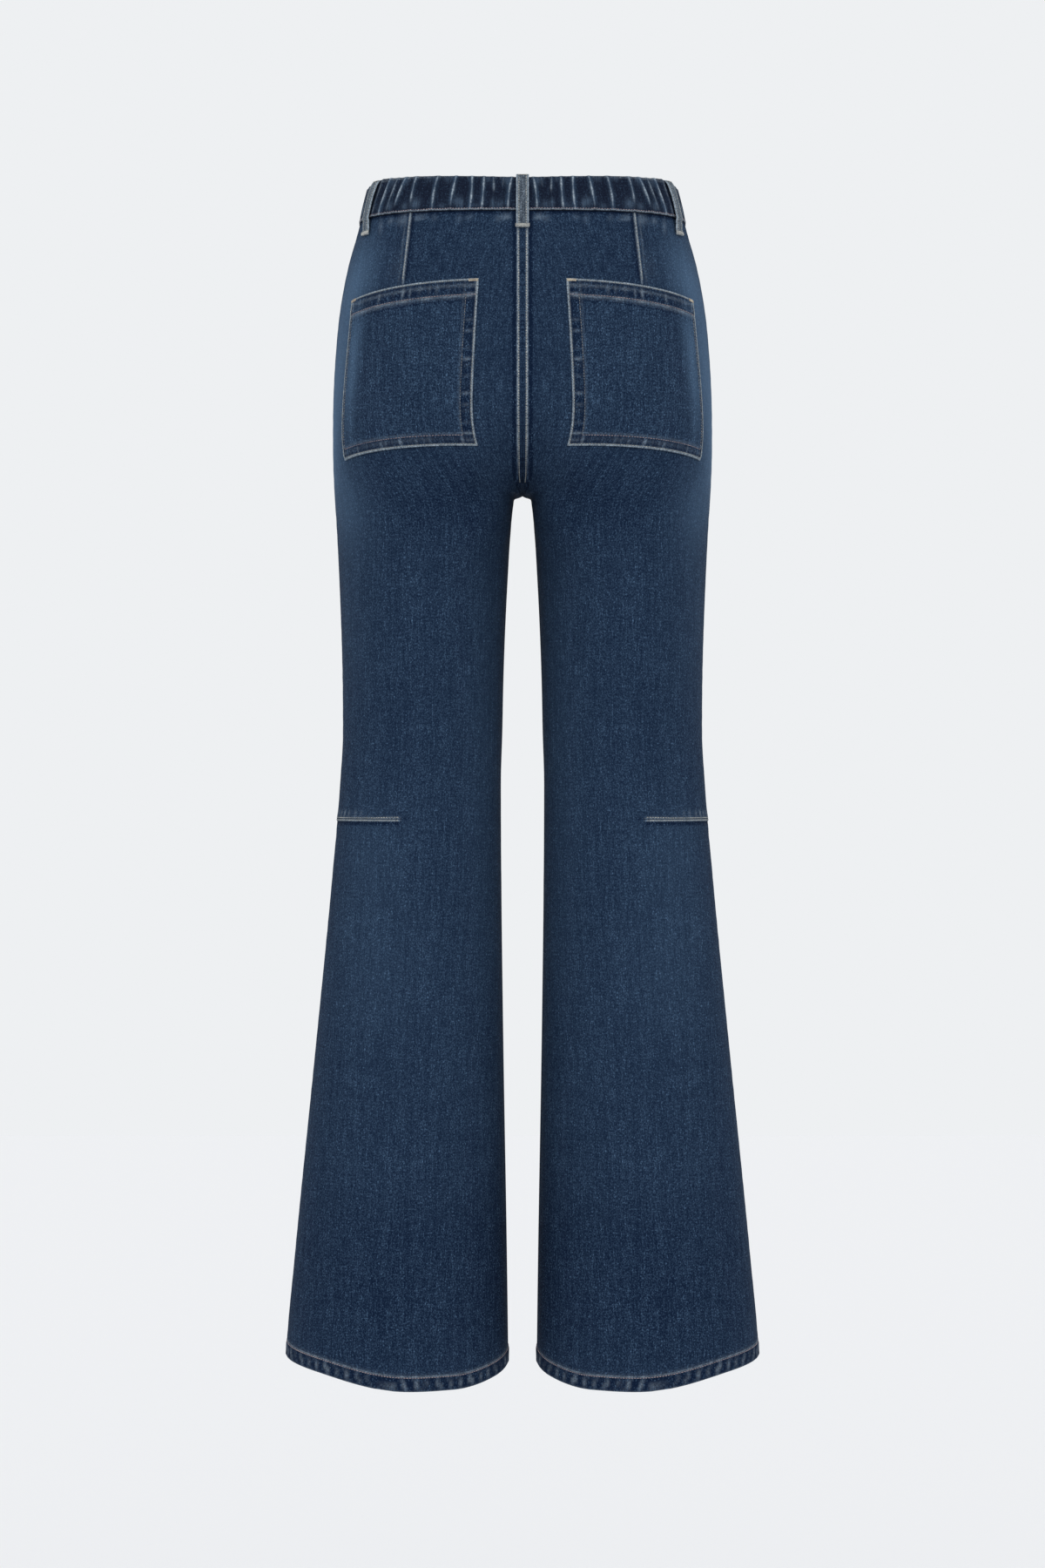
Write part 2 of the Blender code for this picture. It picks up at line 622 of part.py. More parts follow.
def waist_button():
    """The shank button of the waistband, fastened: its domed head stands on the left front band."""
    level, shift = np.array([BAND_DROP / 2]), -BUTTON_FROM_CENTRE
    middle = cloth(1, -1, np.ones(1), level, shift, np.array([BAND_FACE + SEAM_AIR]))[0]
    drop = waist_level(-1, 1.0, level)
    normal = outward(-1, distance(-1, 1.0, drop) + shift, drop)[0]
    across = np.cross((0, 0, 1), normal)
    up = np.cross(normal, across)
    turn = np.linspace(0, 2 * math.pi, BUTTON_STEPS, endpoint=False)[:, None]
    around = np.cos(turn) * across + np.sin(turn) * up
    profile = table(BUTTON_COLUMNS, BUTTON_PROFILE)
    radius, height = profile["radius"][:, None, None], profile["height"][:, None, None]
    return swept("waist_button", middle + radius * around + height * normal, metal())


def build():
    for old in list(bpy.data.objects):
        bpy.data.objects.remove(old)
    for side in (1, -1):
        for face in (1, -1):
            panel(side, face)
        front_waistband(side)
        pocket(side)
    back_waistband()
    for name in LOOPS:
        belt_loop(name)
    waist_button()


build()
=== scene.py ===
"""Wide leg jeans with a gathered elastic back waist, seen from the back: their cloth, sewing and wear.

Lengths are millimetres until a mesh is made. A drop is a distance below the waist edge, the back faces
+Y, and side 1 is the wearer's left, +X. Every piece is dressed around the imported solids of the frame.
"""

import math

import bpy
import numpy as np
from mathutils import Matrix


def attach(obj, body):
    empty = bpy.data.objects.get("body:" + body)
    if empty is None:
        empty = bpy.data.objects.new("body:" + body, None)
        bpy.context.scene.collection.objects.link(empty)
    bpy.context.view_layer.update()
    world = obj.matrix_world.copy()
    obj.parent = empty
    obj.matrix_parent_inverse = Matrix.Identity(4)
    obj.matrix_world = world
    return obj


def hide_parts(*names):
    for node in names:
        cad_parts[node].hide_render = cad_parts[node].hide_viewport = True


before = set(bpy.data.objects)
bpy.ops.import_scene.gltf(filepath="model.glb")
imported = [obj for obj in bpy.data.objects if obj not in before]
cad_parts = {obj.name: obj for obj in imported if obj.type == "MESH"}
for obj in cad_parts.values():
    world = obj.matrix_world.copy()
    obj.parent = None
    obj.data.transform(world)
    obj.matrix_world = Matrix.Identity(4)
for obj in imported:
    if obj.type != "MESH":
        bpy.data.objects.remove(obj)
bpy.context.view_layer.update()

BACK, FRONT = 1, -1
LEFT, RIGHT = 1, -1
BODY = "root"
MM = 0.001


# ---------------------------------------------------------------- the worn form
# The jeans hang filled out and hollow. Their form is a stack of half rings, front and back, each from
# the side seam to the centre seam, and below the crotch to the inseam. All cloth lies on it.

SECTION_COLUMNS = ("drop", "side_x", "inseam_x", "fullest_x", "back_y", "front_y", "square")
SECTIONS = (
    (-6, 137.4, 0.0, 12, 91, 89, 2.7),
    (16, 143.0, 0.0, 17, 94, 93, 2.7),
    (34, 147.2, 0.0, 21, 97, 96, 2.6),
    (63, 155.8, 0.0, 29, 105, 101, 2.4),
    (111, 165.1, 0.0, 43, 118, 106, 2.3),
    (150, 168.9, 0.0, 53, 125, 107, 2.2),
    (190, 171.0, 0.0, 63, 127, 107, 2.2),
    (230, 171.4, 0.0, 74, 122, 104, 2.2),
    (276, 169.9, 7.5, 87, 110, 98, 2.1),
    (300, 168.3, 10.3, 89, 104, 95, 2.1),
    (348, 165.9, 13.4, 90, 96, 90, 2.0),
    (442, 162.8, 17.4, 90, 83, 80, 2.0),
    (490, 162.5, 18.4, 90, 76, 75, 2.0),
    (537, 165.1, 19.7, 92, 72, 71, 2.0),
    (632, 173.2, 19.2, 96, 73, 70, 2.0),
    (775, 187.2, 17.4, 102, 77, 73, 2.0),
    (965, 206.2, 14.2, 110, 83, 78, 2.0),
    (1043, 213.3, 13.2, 113, 86, 80, 2.0),
    (1080, 214.6, 12.8, 114, 87, 81, 2.0),
)
CROTCH_DROP = 276.0
RISE_ROUND = {BACK: 90.0, FRONT: 80.0}  # height over which the rise seam curves in
SEAT_DIP = {BACK: 4.5, FRONT: 1.0}  # how far the centre seam lies in from the fullest depth
SEAT_DIP_DROPS = (20, 160)
CROTCH_ARCH = 6.0
ARCH_POWER = 3  # the arch between the inseams is flat on top with tight corners
INSEAM_PINCH = 9.0  # how much the inseam's width keeps to the seam itself, just below the crotch
ARC_STEPS = 120
TABLE_STEPS = 240
TABLE_DROPS = np.arange(-10.0, 1101.0)


def table(columns, rows):
    """The columns of a table of numbers, by name."""
    return dict(zip(columns, np.array(rows, dtype=float).T))


def smooth(x, knots, values):
    """Cubic through the knots, with the slope at each knot the weighted mean of its neighbours'."""
    step = np.diff(knots)
    rise = np.diff(values) / step
    slope = np.empty_like(values)
    slope[0], slope[-1] = rise[0], rise[-1]
    slope[1:-1] = (rise[:-1] * step[1:] + rise[1:] * step[:-1]) / (step[:-1] + step[1:])
    slope[1:-1][rise[:-1] * rise[1:] <= 0] = 0
    i = np.clip(np.searchsorted(knots, x) - 1, 0, len(step) - 1)
    t = np.clip((x - knots[i]) / step[i], 0, 1)
    start = values[i] * (1 + 2 * t) * (1 - t) ** 2 + slope[i] * step[i] * t * (1 - t) ** 2
    end = values[i + 1] * t * t * (3 - 2 * t) - slope[i + 1] * step[i] * t * t * (1 - t)
    return start + end


def ramp(x, start, end):
    """0 before start, 1 after end, an S curve between them."""
    t = np.clip((np.asarray(x, dtype=float) - start) / (end - start), 0, 1)
    return t * t * (3 - 2 * t)


def bell(x, middle, width):
    """1 at the middle, falling off as a Gauss curve to a third at width from it."""
    return np.exp(-(((x - middle) / width) ** 2))


SECTION = table(SECTION_COLUMNS, SECTIONS)


def section(column, drop):
    """One size of the form at a drop."""
    return smooth(drop, SECTION["drop"], SECTION[column])


def rise_share(face, drop):
    """Depth of the centre seam as a share of the section's depth: 1 at the waist, 0 at the crotch."""
    depth = section("back_y" if face == BACK else "front_y", drop)
    above = np.clip((CROTCH_DROP - drop) / RISE_ROUND[face], 0, 1)
    dip = 1 - SEAT_DIP[face] * ramp(drop, *SEAT_DIP_DROPS) / depth
    return np.sqrt(np.clip(1 - (1 - above) ** 2, 0, 1)) * np.minimum(dip, 0.9995)


def form_table(face):
    """The form as rings of evenly spaced points: x and y for each drop and step, and each ring's length.

    The outer quarter of a half ring is a superellipse. The inner part is an arc of an ellipse, which
    ends on the middle plane above the crotch and runs its whole quarter below it.
    """
    turn = np.linspace(0, 1, ARC_STEPS + 1)
    drop = TABLE_DROPS[:, None]
    side, fullest = section("side_x", drop), section("fullest_x", drop)
    depth = section("back_y" if face == BACK else "front_y", drop)
    power = 2 / section("square", drop)
    below = np.clip((drop - CROTCH_DROP) / CROTCH_ARCH, 0, 1)
    inseam = section("inseam_x", drop) * (1 - (1 - below) ** ARCH_POWER) ** (1 / ARCH_POWER)
    end = np.arccos(np.where(drop < CROTCH_DROP, rise_share(face, drop), 0.0))
    outer = np.clip(turn * math.pi, 0, math.pi / 2)
    inner = np.clip(2 * turn - 1, 0, 1) * end
    cosine, sine = np.clip(np.cos(outer), 0, 1), np.clip(np.sin(outer), 0, 1)
    inward = np.sin(inner) / np.sin(end)
    pinch = 1 + INSEAM_PINCH * (1 - ramp(drop, CROTCH_DROP, 345))
    inner_x = fullest * (1 - inward) + inseam * inward**pinch
    x = np.where(turn <= 0.5, fullest + (side - fullest) * cosine**power, inner_x)
    y = np.where(turn <= 0.5, depth * sine**power, depth * np.cos(inner))
    steps = np.hypot(np.diff(x), np.diff(y))
    run = np.concatenate([np.zeros_like(drop), np.cumsum(steps, axis=1)], axis=1)
    even = np.linspace(0, 1, TABLE_STEPS + 1)
    rings = [(np.interp(even * r[-1], r, a), np.interp(even * r[-1], r, b)) for r, a, b in zip(run, x, y)]
    points = np.array(rings)
    points[:, 1] *= face
    return points, run[:, -1]


FORM = {face: form_table(face) for face in (BACK, FRONT)}


def ring_length(face, drop):
    """Length of the half ring at a drop."""
    return np.interp(drop, TABLE_DROPS, FORM[face][1])


def form_at(face, at, drop):
    """Points of the form at a distance along the half ring from the side seam, on the left side."""
    at, drop = np.broadcast_arrays(np.asarray(at, dtype=float), np.asarray(drop, dtype=float))
    points, _ = FORM[face]
    along = np.clip(at / ring_length(face, drop), 0, 1) * TABLE_STEPS
    column = np.clip(along.astype(int), 0, TABLE_STEPS - 1)
    row = np.clip((drop - TABLE_DROPS[0]).astype(int), 0, len(TABLE_DROPS) - 2)
    u, v = along - column, np.clip(drop - TABLE_DROPS[0] - row, 0, 1)
    flat = [
        (points[row, k, column] * (1 - u) + points[row, k, column + 1] * u) * (1 - v)
        + (points[row + 1, k, column] * (1 - u) + points[row + 1, k, column + 1] * u) * v
        for k in (0, 1)
    ]
    return np.stack([flat[0], flat[1], -drop], axis=-1)


NORMAL_REACH = 1.5  # distance over which the form's slope is taken


def outward(face, at, drop):
    """Unit normals of the form, pointing out of the cloth, from differences along and across it."""
    at, drop = np.broadcast_arrays(np.asarray(at, dtype=float), np.asarray(drop, dtype=float))
    inside = np.clip(at, NORMAL_REACH, ring_length(face, drop) - NORMAL_REACH)
    around = form_at(face, inside - NORMAL_REACH, drop) - form_at(face, inside + NORMAL_REACH, drop)
    down = form_at(face, at, drop + NORMAL_REACH) - form_at(face, at, drop - NORMAL_REACH)
    normal = np.cross(around, down) * face
    return normal / np.linalg.norm(normal, axis=-1, keepdims=True)


def unit(vector):
    """Vectors scaled to a length of one."""
    return vector / np.maximum(np.linalg.norm(vector, axis=-1, keepdims=True), 1e-9)


# Everything on the left is made once and mirrored, as the real halves are cut in pairs.
def on_form(face, from_centre, drop, lift=0.0, side=LEFT, meet=0.03):
    """Points at a distance from the centre seam, moved out of the form by lift, and their normals.

    A negative distance crosses to the other side, for pieces that lie over the centre seam.
    """
    from_centre, drop = np.broadcast_arrays(np.asarray(from_centre, float), np.asarray(drop, float))
    at = ring_length(face, drop) - np.abs(from_centre)
    normal = outward(face, at, drop)
    point = form_at(face, at, drop) + np.asarray(lift)[..., None] * normal
    point[..., 0] = np.maximum(point[..., 0], 0) + meet
    over = np.where(from_centre < 0, -1.0, 1.0) * side
    mirror = np.stack([over, np.ones_like(over), np.ones_like(over)], axis=-1)
    return point * mirror, normal * mirror


# ---------------------------------------------------------------- denim
# Dark indigo stretch denim, stonewashed: blue warp over pale weft, slubby along the leg, pale where
# folds and seams rub. Each piece's cloth map runs across and down it in metres, the down being warp.


class Wire:
    """An output socket of a material. An expression on it adds Math nodes."""

    def __init__(self, finish, socket):
        self.finish, self.socket = finish, socket

    def math(self, operation, *others):
        values = dict(enumerate((self, *others)))
        return self.finish.node("ShaderNodeMath", {"operation": operation}, values)

    def __add__(self, other):
        return self.math("ADD", other)

    def __sub__(self, other):
        return self.math("SUBTRACT", other)

    def __rsub__(self, other):
        return (self - other) * -1

    def __mul__(self, other):
        return self.math("MULTIPLY", other)

    def __truediv__(self, other):
        return self.math("DIVIDE", other)

    __radd__, __rmul__ = __add__, __mul__

    def between(self, low, high):
        """0 at low, 1 at high, an S curve between them."""
        settings = {"interpolation_type": "SMOOTHSTEP"}
        return self.finish.node("ShaderNodeMapRange", settings, {"Value": self, 1: low, 2: high})


class Finish:
    """A material whose nodes all come from one method."""

    def __init__(self, name, roughness, specular=0.5, metallic=0.0):
        self.material = bpy.data.materials.new(name)
        self.material.use_nodes = True
        self.tree = self.material.node_tree
        self.shader = self.tree.nodes["Principled BSDF"]
        self.shader.inputs["Roughness"].default_value = roughness
        self.shader.inputs["Specular IOR Level"].default_value = specular
        self.shader.inputs["Metallic"].default_value = metallic

    def node(self, kind, settings, sockets, output=0):
        """A node of a kind, its settings first, then its sockets' values or links by name or number."""
        made = self.tree.nodes.new(kind)
        for name, value in settings.items():
            setattr(made, name, value)
        for name, value in sockets.items():
            self.join(value, made.inputs[name])
        return Wire(self, made.outputs[output])

    def join(self, value, socket):
        if isinstance(value, Wire):
            self.tree.links.new(value.socket, socket)
        else:
            socket.default_value = value

    def map(self, name):
        """The two coordinates of a piece's map, in metres."""
        at = self.node("ShaderNodeUVMap", {"uv_map": name}, {})
        return self.split(at)

    def split(self, vector):
        made = self.node("ShaderNodeSeparateXYZ", {}, {0: vector})
        outputs = made.socket.node.outputs
        return [Wire(self, outputs[k]) for k in range(3)]

    def vector(self, x, y, z=0.0):
        return self.node("ShaderNodeCombineXYZ", {}, {0: x, 1: y, 2: z})

    def mark(self, name):
        """A number that the piece's points carry."""
        return self.node("ShaderNodeAttribute", {"attribute_name": name}, {}, output=2)

    def noise(self, across, down, size, detail=2.0, roughness=0.5, seed=0.0):
        """Noise over two coordinates, size being its grain in metres across and down."""
        at = self.vector(across / size[0], down / size[1], seed)
        sockets = {"Vector": at, "Scale": 1.0, "Detail": detail, "Roughness": roughness}
        return self.node("ShaderNodeTexNoise", {}, sockets)

    def blend(self, share, first, second):
        """A colour between two, by a share from 0 to 1."""
        sockets = {0: share, 6: first, 7: second}
        return self.node("ShaderNodeMix", {"data_type": "RGBA"}, sockets, output=2)

    def bump(self, height, strength, distance=MM):
        sockets = {"Height": height, "Strength": strength, "Distance": distance}
        self.join(self.node("ShaderNodeBump", {}, sockets), self.shader.inputs["Normal"])

    def colour(self, value):
        self.join(value, self.shader.inputs["Base Color"])


def paint(red, green, blue):
    """A colour for a shader from its display values out of 255."""
    values = np.array([red, green, blue]) / 255
    linear = np.where(values <= 0.04045, values / 12.92, ((values + 0.055) / 1.055) ** 2.4)
    return (*[float(v) for v in linear], 1.0)


INDIGO_DEEP = paint(9, 24, 46)
INDIGO_WORN = paint(79, 105, 133)
DENIM_PALE = paint(150, 163, 174)
# Grain of the cloth, across and down in metres, and its strength.
YARN = ((0.0012, 0.0018), 3.3)
WEAVE = ((0.0008, 0.0011), 3.0)
SLUB = ((0.0014, 0.0130), 2.3)
STREAK = ((0.0036, 0.070), 1.2)
WEFT_SLUB = ((0.010, 0.0015), 0.8)
MOTTLE = ((0.030, 0.050), 0.5)
TWILL_PITCH = 0.0011
TWILL_RISE = 0.62  # how steeply the twill's lines climb to the right
# How far the mark of fading and painted shading moves the cloth's tone.
FADE_AND_SHADING_SHARE = 0.24


def denim(name, depth=0.135, contrast=0.94, deep=INDIGO_DEEP, worn=INDIGO_WORN):
    """Indigo between deep and worn, by the cloth's depth, its mark of fading and painted shading, and its
    grain.

    The grain is the exponential of a sum of noises, less one, so that pale flecks stand out more
    than dark ones. Where the worn mark is high, the cloth is rubbed pale in broken specks.
    """
    cloth = Finish(name, roughness=0.92, specular=0.07)
    across, down, _ = cloth.map("cloth")
    yarn = cloth.noise(across, down, YARN[0], detail=1.0)
    weave = cloth.noise(across, down, WEAVE[0], detail=0.0, seed=5.3)
    slub = cloth.noise(across, down, SLUB[0], detail=2.0, roughness=0.6, seed=3.1)
    streak = cloth.noise(across, down, STREAK[0], detail=3.0, roughness=0.55, seed=7.7)
    weft = cloth.noise(across, down, WEFT_SLUB[0], detail=1.0, seed=11.3)
    mottle = cloth.noise(across, down, MOTTLE[0], detail=3.0, seed=17.9)
    twill = ((across + down * TWILL_RISE) * (2 * math.pi / TWILL_PITCH)).math("SINE")
    grain = (yarn - 0.5) * YARN[1] + (weave - 0.5) * WEAVE[1] + (slub - 0.5) * SLUB[1]
    grain = grain + (streak - 0.5) * STREAK[1] + (weft - 0.5) * WEFT_SLUB[1] + (mottle - 0.5) * MOTTLE[1]
    tone = (grain.math("EXPONENT") - 1) * (0.16 * contrast) + cloth.mark("fade") * FADE_AND_SHADING_SHARE + depth
    colour = cloth.blend(cloth.node("ShaderNodeClamp", {}, {0: tone}), deep, worn)
    broken = cloth.noise(across, down, (0.0015, 0.0018), detail=3.0, roughness=0.65, seed=23.0)
    rubbed = cloth.mark("worn") * (broken.between(0.34, 0.64) * 0.85 + 0.30)
    colour = cloth.blend(cloth.node("ShaderNodeClamp", {}, {0: rubbed}), colour, DENIM_PALE)
    cloth.colour(colour)
    cloth.bump(twill * 0.05 + slub * 0.2 + yarn * 0.25 + weft * 0.1, strength=0.4)
    return cloth.material


def reverse_denim():
    """The inside of the cloth: pale weft with blue warp showing through in diagonal lines."""
    cloth = Finish("denim_inside", roughness=0.95, specular=0.1)
    across, down, _ = cloth.map("cloth")
    grain = cloth.noise(across, down, YARN[0], detail=3.0, roughness=0.65, seed=31.0)
    slub = cloth.noise(across, down, WEFT_SLUB[0], detail=3.0, seed=37.0)
    tone = 0.5 + (grain - 0.5) * 1.3 + (slub - 0.5) * 0.9
    cover = cloth.node("ShaderNodeClamp", {}, {0: tone})
    cloth.colour(cloth.blend(cover, paint(62, 82, 108), paint(132, 146, 160)))
    cloth.bump(grain * 0.25 + slub * 0.15, strength=0.5)
    return cloth.material


DENIM = denim("denim")
DENIM_INSIDE = reverse_denim()


def make_piece(name, points, faces, materials, maps={}, marks={}, slots=None, angle=50):
    """A mesh object from points in millimetres, with its maps and marks, and every face turned outwards.

    The faces are triangles or quads in one array. They are all reversed if the volume that they
    enclose comes out negative, by summing the corner products of each face.
    """
    points, faces = np.asarray(points, float), np.asarray(faces)
    middle = points.mean(axis=0)
    a, b, c = (points[faces[:, k]] - middle for k in (0, 1, 2))
    volume = (a * np.cross(b, c)).sum()
    if faces.shape[1] == 4:
        d = points[faces[:, 3]] - middle
        volume += (a * np.cross(c, d)).sum()
    if volume < 0:
        faces = faces[:, ::-1]
    mesh = bpy.data.meshes.new(name)
    mesh.from_pydata((points * MM).tolist(), [], faces.tolist())
    corner = np.empty(len(mesh.loops), dtype=np.int32)
    mesh.loops.foreach_get("vertex_index", corner)
    for label, values in maps.items():
        layer = mesh.uv_layers.new(name=label)
        layer.data.foreach_set("uv", (values[corner] * MM).astype(np.float32).ravel())
    for label, values in marks.items():
        layer = mesh.attributes.new(label, "FLOAT", "POINT")
        layer.data.foreach_set("value", values.astype(np.float32))
    for material in materials:
        mesh.materials.append(material)
    if slots is not None:
        mesh.polygons.foreach_set("material_index", slots.astype(np.int32))
    mesh.shade_smooth()
    mesh.set_sharp_from_angle(angle=math.radians(angle))
    mesh.update()
    piece = bpy.data.objects.new(name, mesh)
    bpy.context.collection.objects.link(piece)
    return piece


def grid_faces(rows, columns, start=0, ring=False):
    """Quads of a grid of points, joined from the last column back to the first if it is a ring."""
    index = start + np.arange(rows * columns).reshape(rows, columns)
    if ring:
        index = np.concatenate([index, index[:, :1]], axis=1)
    quads = [index[:-1, :-1], index[:-1, 1:], index[1:, 1:], index[1:, :-1]]
    return np.stack([q.ravel() for q in quads], axis=1)


def shell(name, outer, inner, cloth_map, marks, materials):
    """A thin closed wall between two grids, the second material on its inner grid."""
    rows, columns = outer.shape[:2]
    count = rows * columns
    index = np.arange(count).reshape(rows, columns)
    edge = np.concatenate([index[0, :-1], index[:-1, -1], index[-1, :0:-1], index[:0:-1, 0]])
    following = np.roll(edge, -1)
    rim = np.stack([edge, edge + count, following + count, following], axis=1)
    faces = np.concatenate([grid_faces(rows, columns), grid_faces(rows, columns, count)[:, ::-1], rim])
    wall = (len(faces) - len(rim)) // 2
    slots = np.repeat([0, 1, 0], [wall, wall, len(rim)])
    points = np.concatenate([outer.reshape(-1, 3), inner.reshape(-1, 3)])
    maps = {"cloth": np.tile(cloth_map.reshape(-1, 2), (2, 1))}
    marks = {key: np.tile(value.ravel(), 2) for key, value in marks.items()}
    return make_piece(name, points, faces, materials, maps, marks, slots)


# ---------------------------------------------------------------- legs, back and front
# Four panels, cut waist to hem. The backs meet in a raised, twice stitched seat seam. Each has a
# pressed dart from the waistband to the pocket and one across the knee. The hems are turned up.

HEM_COLUMNS = ("share", "back_drop", "front_drop")
HEM = (
    (0.0, 1052.0, 1052.0),
    (0.25, 1060.5, 1055.0),
    (0.5, 1074.0, 1059.0),
    (0.68, 1074.5, 1060.5),
    (0.85, 1067.5, 1059.5),
    (1.0, 1057.5, 1057.5),
)
HEM_DROP = 1055.0
HEM_STARTS = 860.0
HEM_FOLD = 12.0
FRONT_WAIST_DIP = 7.0
BAND_DROP = 32.0
CLOTH = 1.4
FOLD_RISE = 0.7
RISE_ENDS = (262, 292)  # drops over which the seam down the rise dies away
INSEAM_STARTS = (268, 300)
WELT_HALF = 5.2  # the raised seat seam
WELT_STITCH = 3.4
KNEE_DART_DROP = 570.2
KNEE_DART_LENGTH = 101.0
KNEE_DART_RISE = 1.1
WAIST_DART = {"top": 32.7, "foot": 96.6, "top_at": 99.6, "foot_at": 106.5}
HEM_EDGE = table(HEM_COLUMNS, HEM)


def hem_level(face, share, level):
    """Drop of a row's points: the rows bend from horizontal to the hem's edge on the way down."""
    edge = smooth(share, HEM_EDGE["share"], HEM_EDGE["back_drop" if face == BACK else "front_drop"])
    return level + (edge - HEM_DROP) * ramp(level, HEM_STARTS, HEM_DROP)


def waist_level(face, share, level):
    """Drop of a point near the waist, whose edge dips towards the middle of the front."""
    dip = FRONT_WAIST_DIP * ramp(share, 0, 1) if face == FRONT else 0.0
    return level + dip * (1 - ramp(level, 40, 140))


def spaced(*stretches):
    """Values from stretches of (start, end, step), each start included and the last end."""
    counts = [max(int(round((end - start) / step)), 1) for start, end, step in stretches]
    parts = [np.linspace(s[0], s[1], count, endpoint=False) for s, count in zip(stretches, counts)]
    return np.concatenate(parts + [np.array([stretches[-1][1]])])


# Rows by their drop at the inner seam, closer where the cloth is folded and at the crotch.
CROTCH_STRETCHES = (
    (196, 262, 3.5), (262, 270, 1.6), (270, 274, 1.0), (274, 275.4, 0.7), (275.4, 276.6, 0.3),
    (276.6, 279, 0.6), (279, 286, 1.4), (286, 330, 3.5),
)
PANEL_LEVELS = {
    BACK: spaced((32.3, 100, 3), (100, 196, 5), *CROTCH_STRETCHES, (330, 552, 7), (552, 567, 2),
                 (567, 572.2, 0.65), (572.2, 590, 3), (590, 1030, 8), (1030, 1041, 3), (1041, 1055, 1)),
    FRONT: spaced((32.3, 100, 4), (100, 196, 5), *CROTCH_STRETCHES, (330, 1030, 8), (1030, 1041, 3),
                  (1041, 1055, 1)),
}
FAN_LEVELS = (196.0, 330.0)


# Columns stand close together at the seams and the dart: millimetres from each.
SIDE_COLUMNS = np.array([0, 0.8, 1.6, 2.8, 4.4, 6.4, 8.6])
CENTRE_COLUMNS = np.array([9.5, 7.4, 6.2, 5.4, 5.0, 4.6, 4.2, 3.2, 2.4, 1.2, 0.6, 0])
DART_COLUMNS = np.array([-6.5, -4.6, -3.2, -2.2, -1.4, -0.8, -0.3, 0.2, 0.8, 1.6, 2.8, 4.4, 6.4])


def panel_columns(face):
    """Columns as a share of the half ring and a distance added to it, and which are the dart's."""
    middle = (0.5, DART_COLUMNS) if face == BACK else (np.linspace(0.45, 0.59, 13), 0.0)
    outer, inner = (np.linspace(0.06, 0.44, 36), 0.0), (np.linspace(0.60, 0.935, 32), 0.0)
    groups = [(0.0, SIDE_COLUMNS), outer, middle, inner, (1.0, -CENTRE_COLUMNS)]
    groups = [np.array(np.broadcast_arrays(share, shift)) for share, shift in groups]
    is_dart = np.repeat([False, False, face == BACK, False, False], [g.shape[1] for g in groups])
    return *np.concatenate(groups, axis=1), is_dart


LENGTH_EVEN_REACH = 45
STRETCH_POWER = 4


def even_lengths(face):
    """The half ring's length at each drop, evened out so that columns run steadily past the crotch."""
    window = np.hanning(2 * LENGTH_EVEN_REACH + 1)
    padded = np.pad(FORM[face][1], LENGTH_EVEN_REACH, mode="reflect", reflect_type="odd")
    return np.convolve(padded, window / window.sum(), mode="valid")


EVEN_LENGTH = {face: even_lengths(face) for face in (BACK, FRONT)}


def distance(face, share, drop):
    """How far along the half ring a share of it lies, only the inner end taking up a quick change."""
    even = np.interp(drop, TABLE_DROPS, EVEN_LENGTH[face])
    return share * even + (ring_length(face, drop) - even) * share**STRETCH_POWER


# Rubbed puckers under the elastic: from_centre, drop, reach, fall, strength.
PUCKERS = (
    (14.5, 37.5, 4.0, 2.2, 0.42),
    (21.0, 39.0, 2.6, 2.6, 0.18),
    (47.0, 37.5, 3.0, 2.0, 0.16),
    (56.0, 39.0, 2.2, 3.4, 0.14),
    (78.0, 37.5, 2.6, 2.6, 0.14),
    (90.0, 38.0, 2.0, 4.0, 0.18),
    (94.0, 37.0, 2.6, 2.0, 0.36),
    (107.0, 38.0, 2.6, 3.6, 0.34),
    (113.0, 41.0, 2.2, 5.0, 0.24),
    (121.0, 38.0, 2.8, 2.4, 0.30),
    (133.0, 42.0, 2.0, 6.0, 0.24),
)


WELT_SPREAD_MOST = 2.1


def welt_spread(drop):
    """How much wider the welt is along the ring than across, where the seat curves in to the crotch."""
    ways = np.linspace(0, 16, 33)
    levels = np.arange(0.0, 301.0, 4.0)
    at, level = np.meshgrid(ways, levels)
    across = form_at(BACK, ring_length(BACK, level) - at, level)[..., 0]
    reach = np.array([np.interp(WELT_HALF, row, ways) for row in across])
    return np.interp(drop, levels, np.clip(reach / WELT_HALF, 1, WELT_SPREAD_MOST))


# Soft creases of the hanging cloth: face, share, drop, length, width, lean in degrees, depth.
CREASES = (
    (BACK, 0.80, 262, 62, 9, -38, 0.9),
    (BACK, 0.72, 282, 74, 11, -30, 0.7),
    (BACK, 0.86, 300, 48, 8, -46, 0.6),
    (BACK, 0.30, 604, 52, 10, 14, 0.5),
    (BACK, 0.62, 540, 60, 12, -10, 0.45),
    (BACK, 0.40, 660, 110, 16, 74, 0.6),
    (BACK, 0.66, 830, 150, 20, 84, 0.7),
    (BACK, 0.24, 900, 130, 18, 96, 0.6),
    (FRONT, 0.78, 214, 58, 8, 28, 1.0),
    (FRONT, 0.70, 236, 70, 9, 22, 0.9),
    (FRONT, 0.82, 262, 52, 8, 34, 0.8),
    (FRONT, 0.60, 268, 64, 10, 16, 0.6),
    (FRONT, 0.42, 548, 58, 11, -8, 0.6),
    (FRONT, 0.60, 590, 66, 12, 10, 0.6),
    (FRONT, 0.34, 700, 130, 17, 80, 0.6),
    (FRONT, 0.68, 860, 150, 20, 97, 0.7),
)


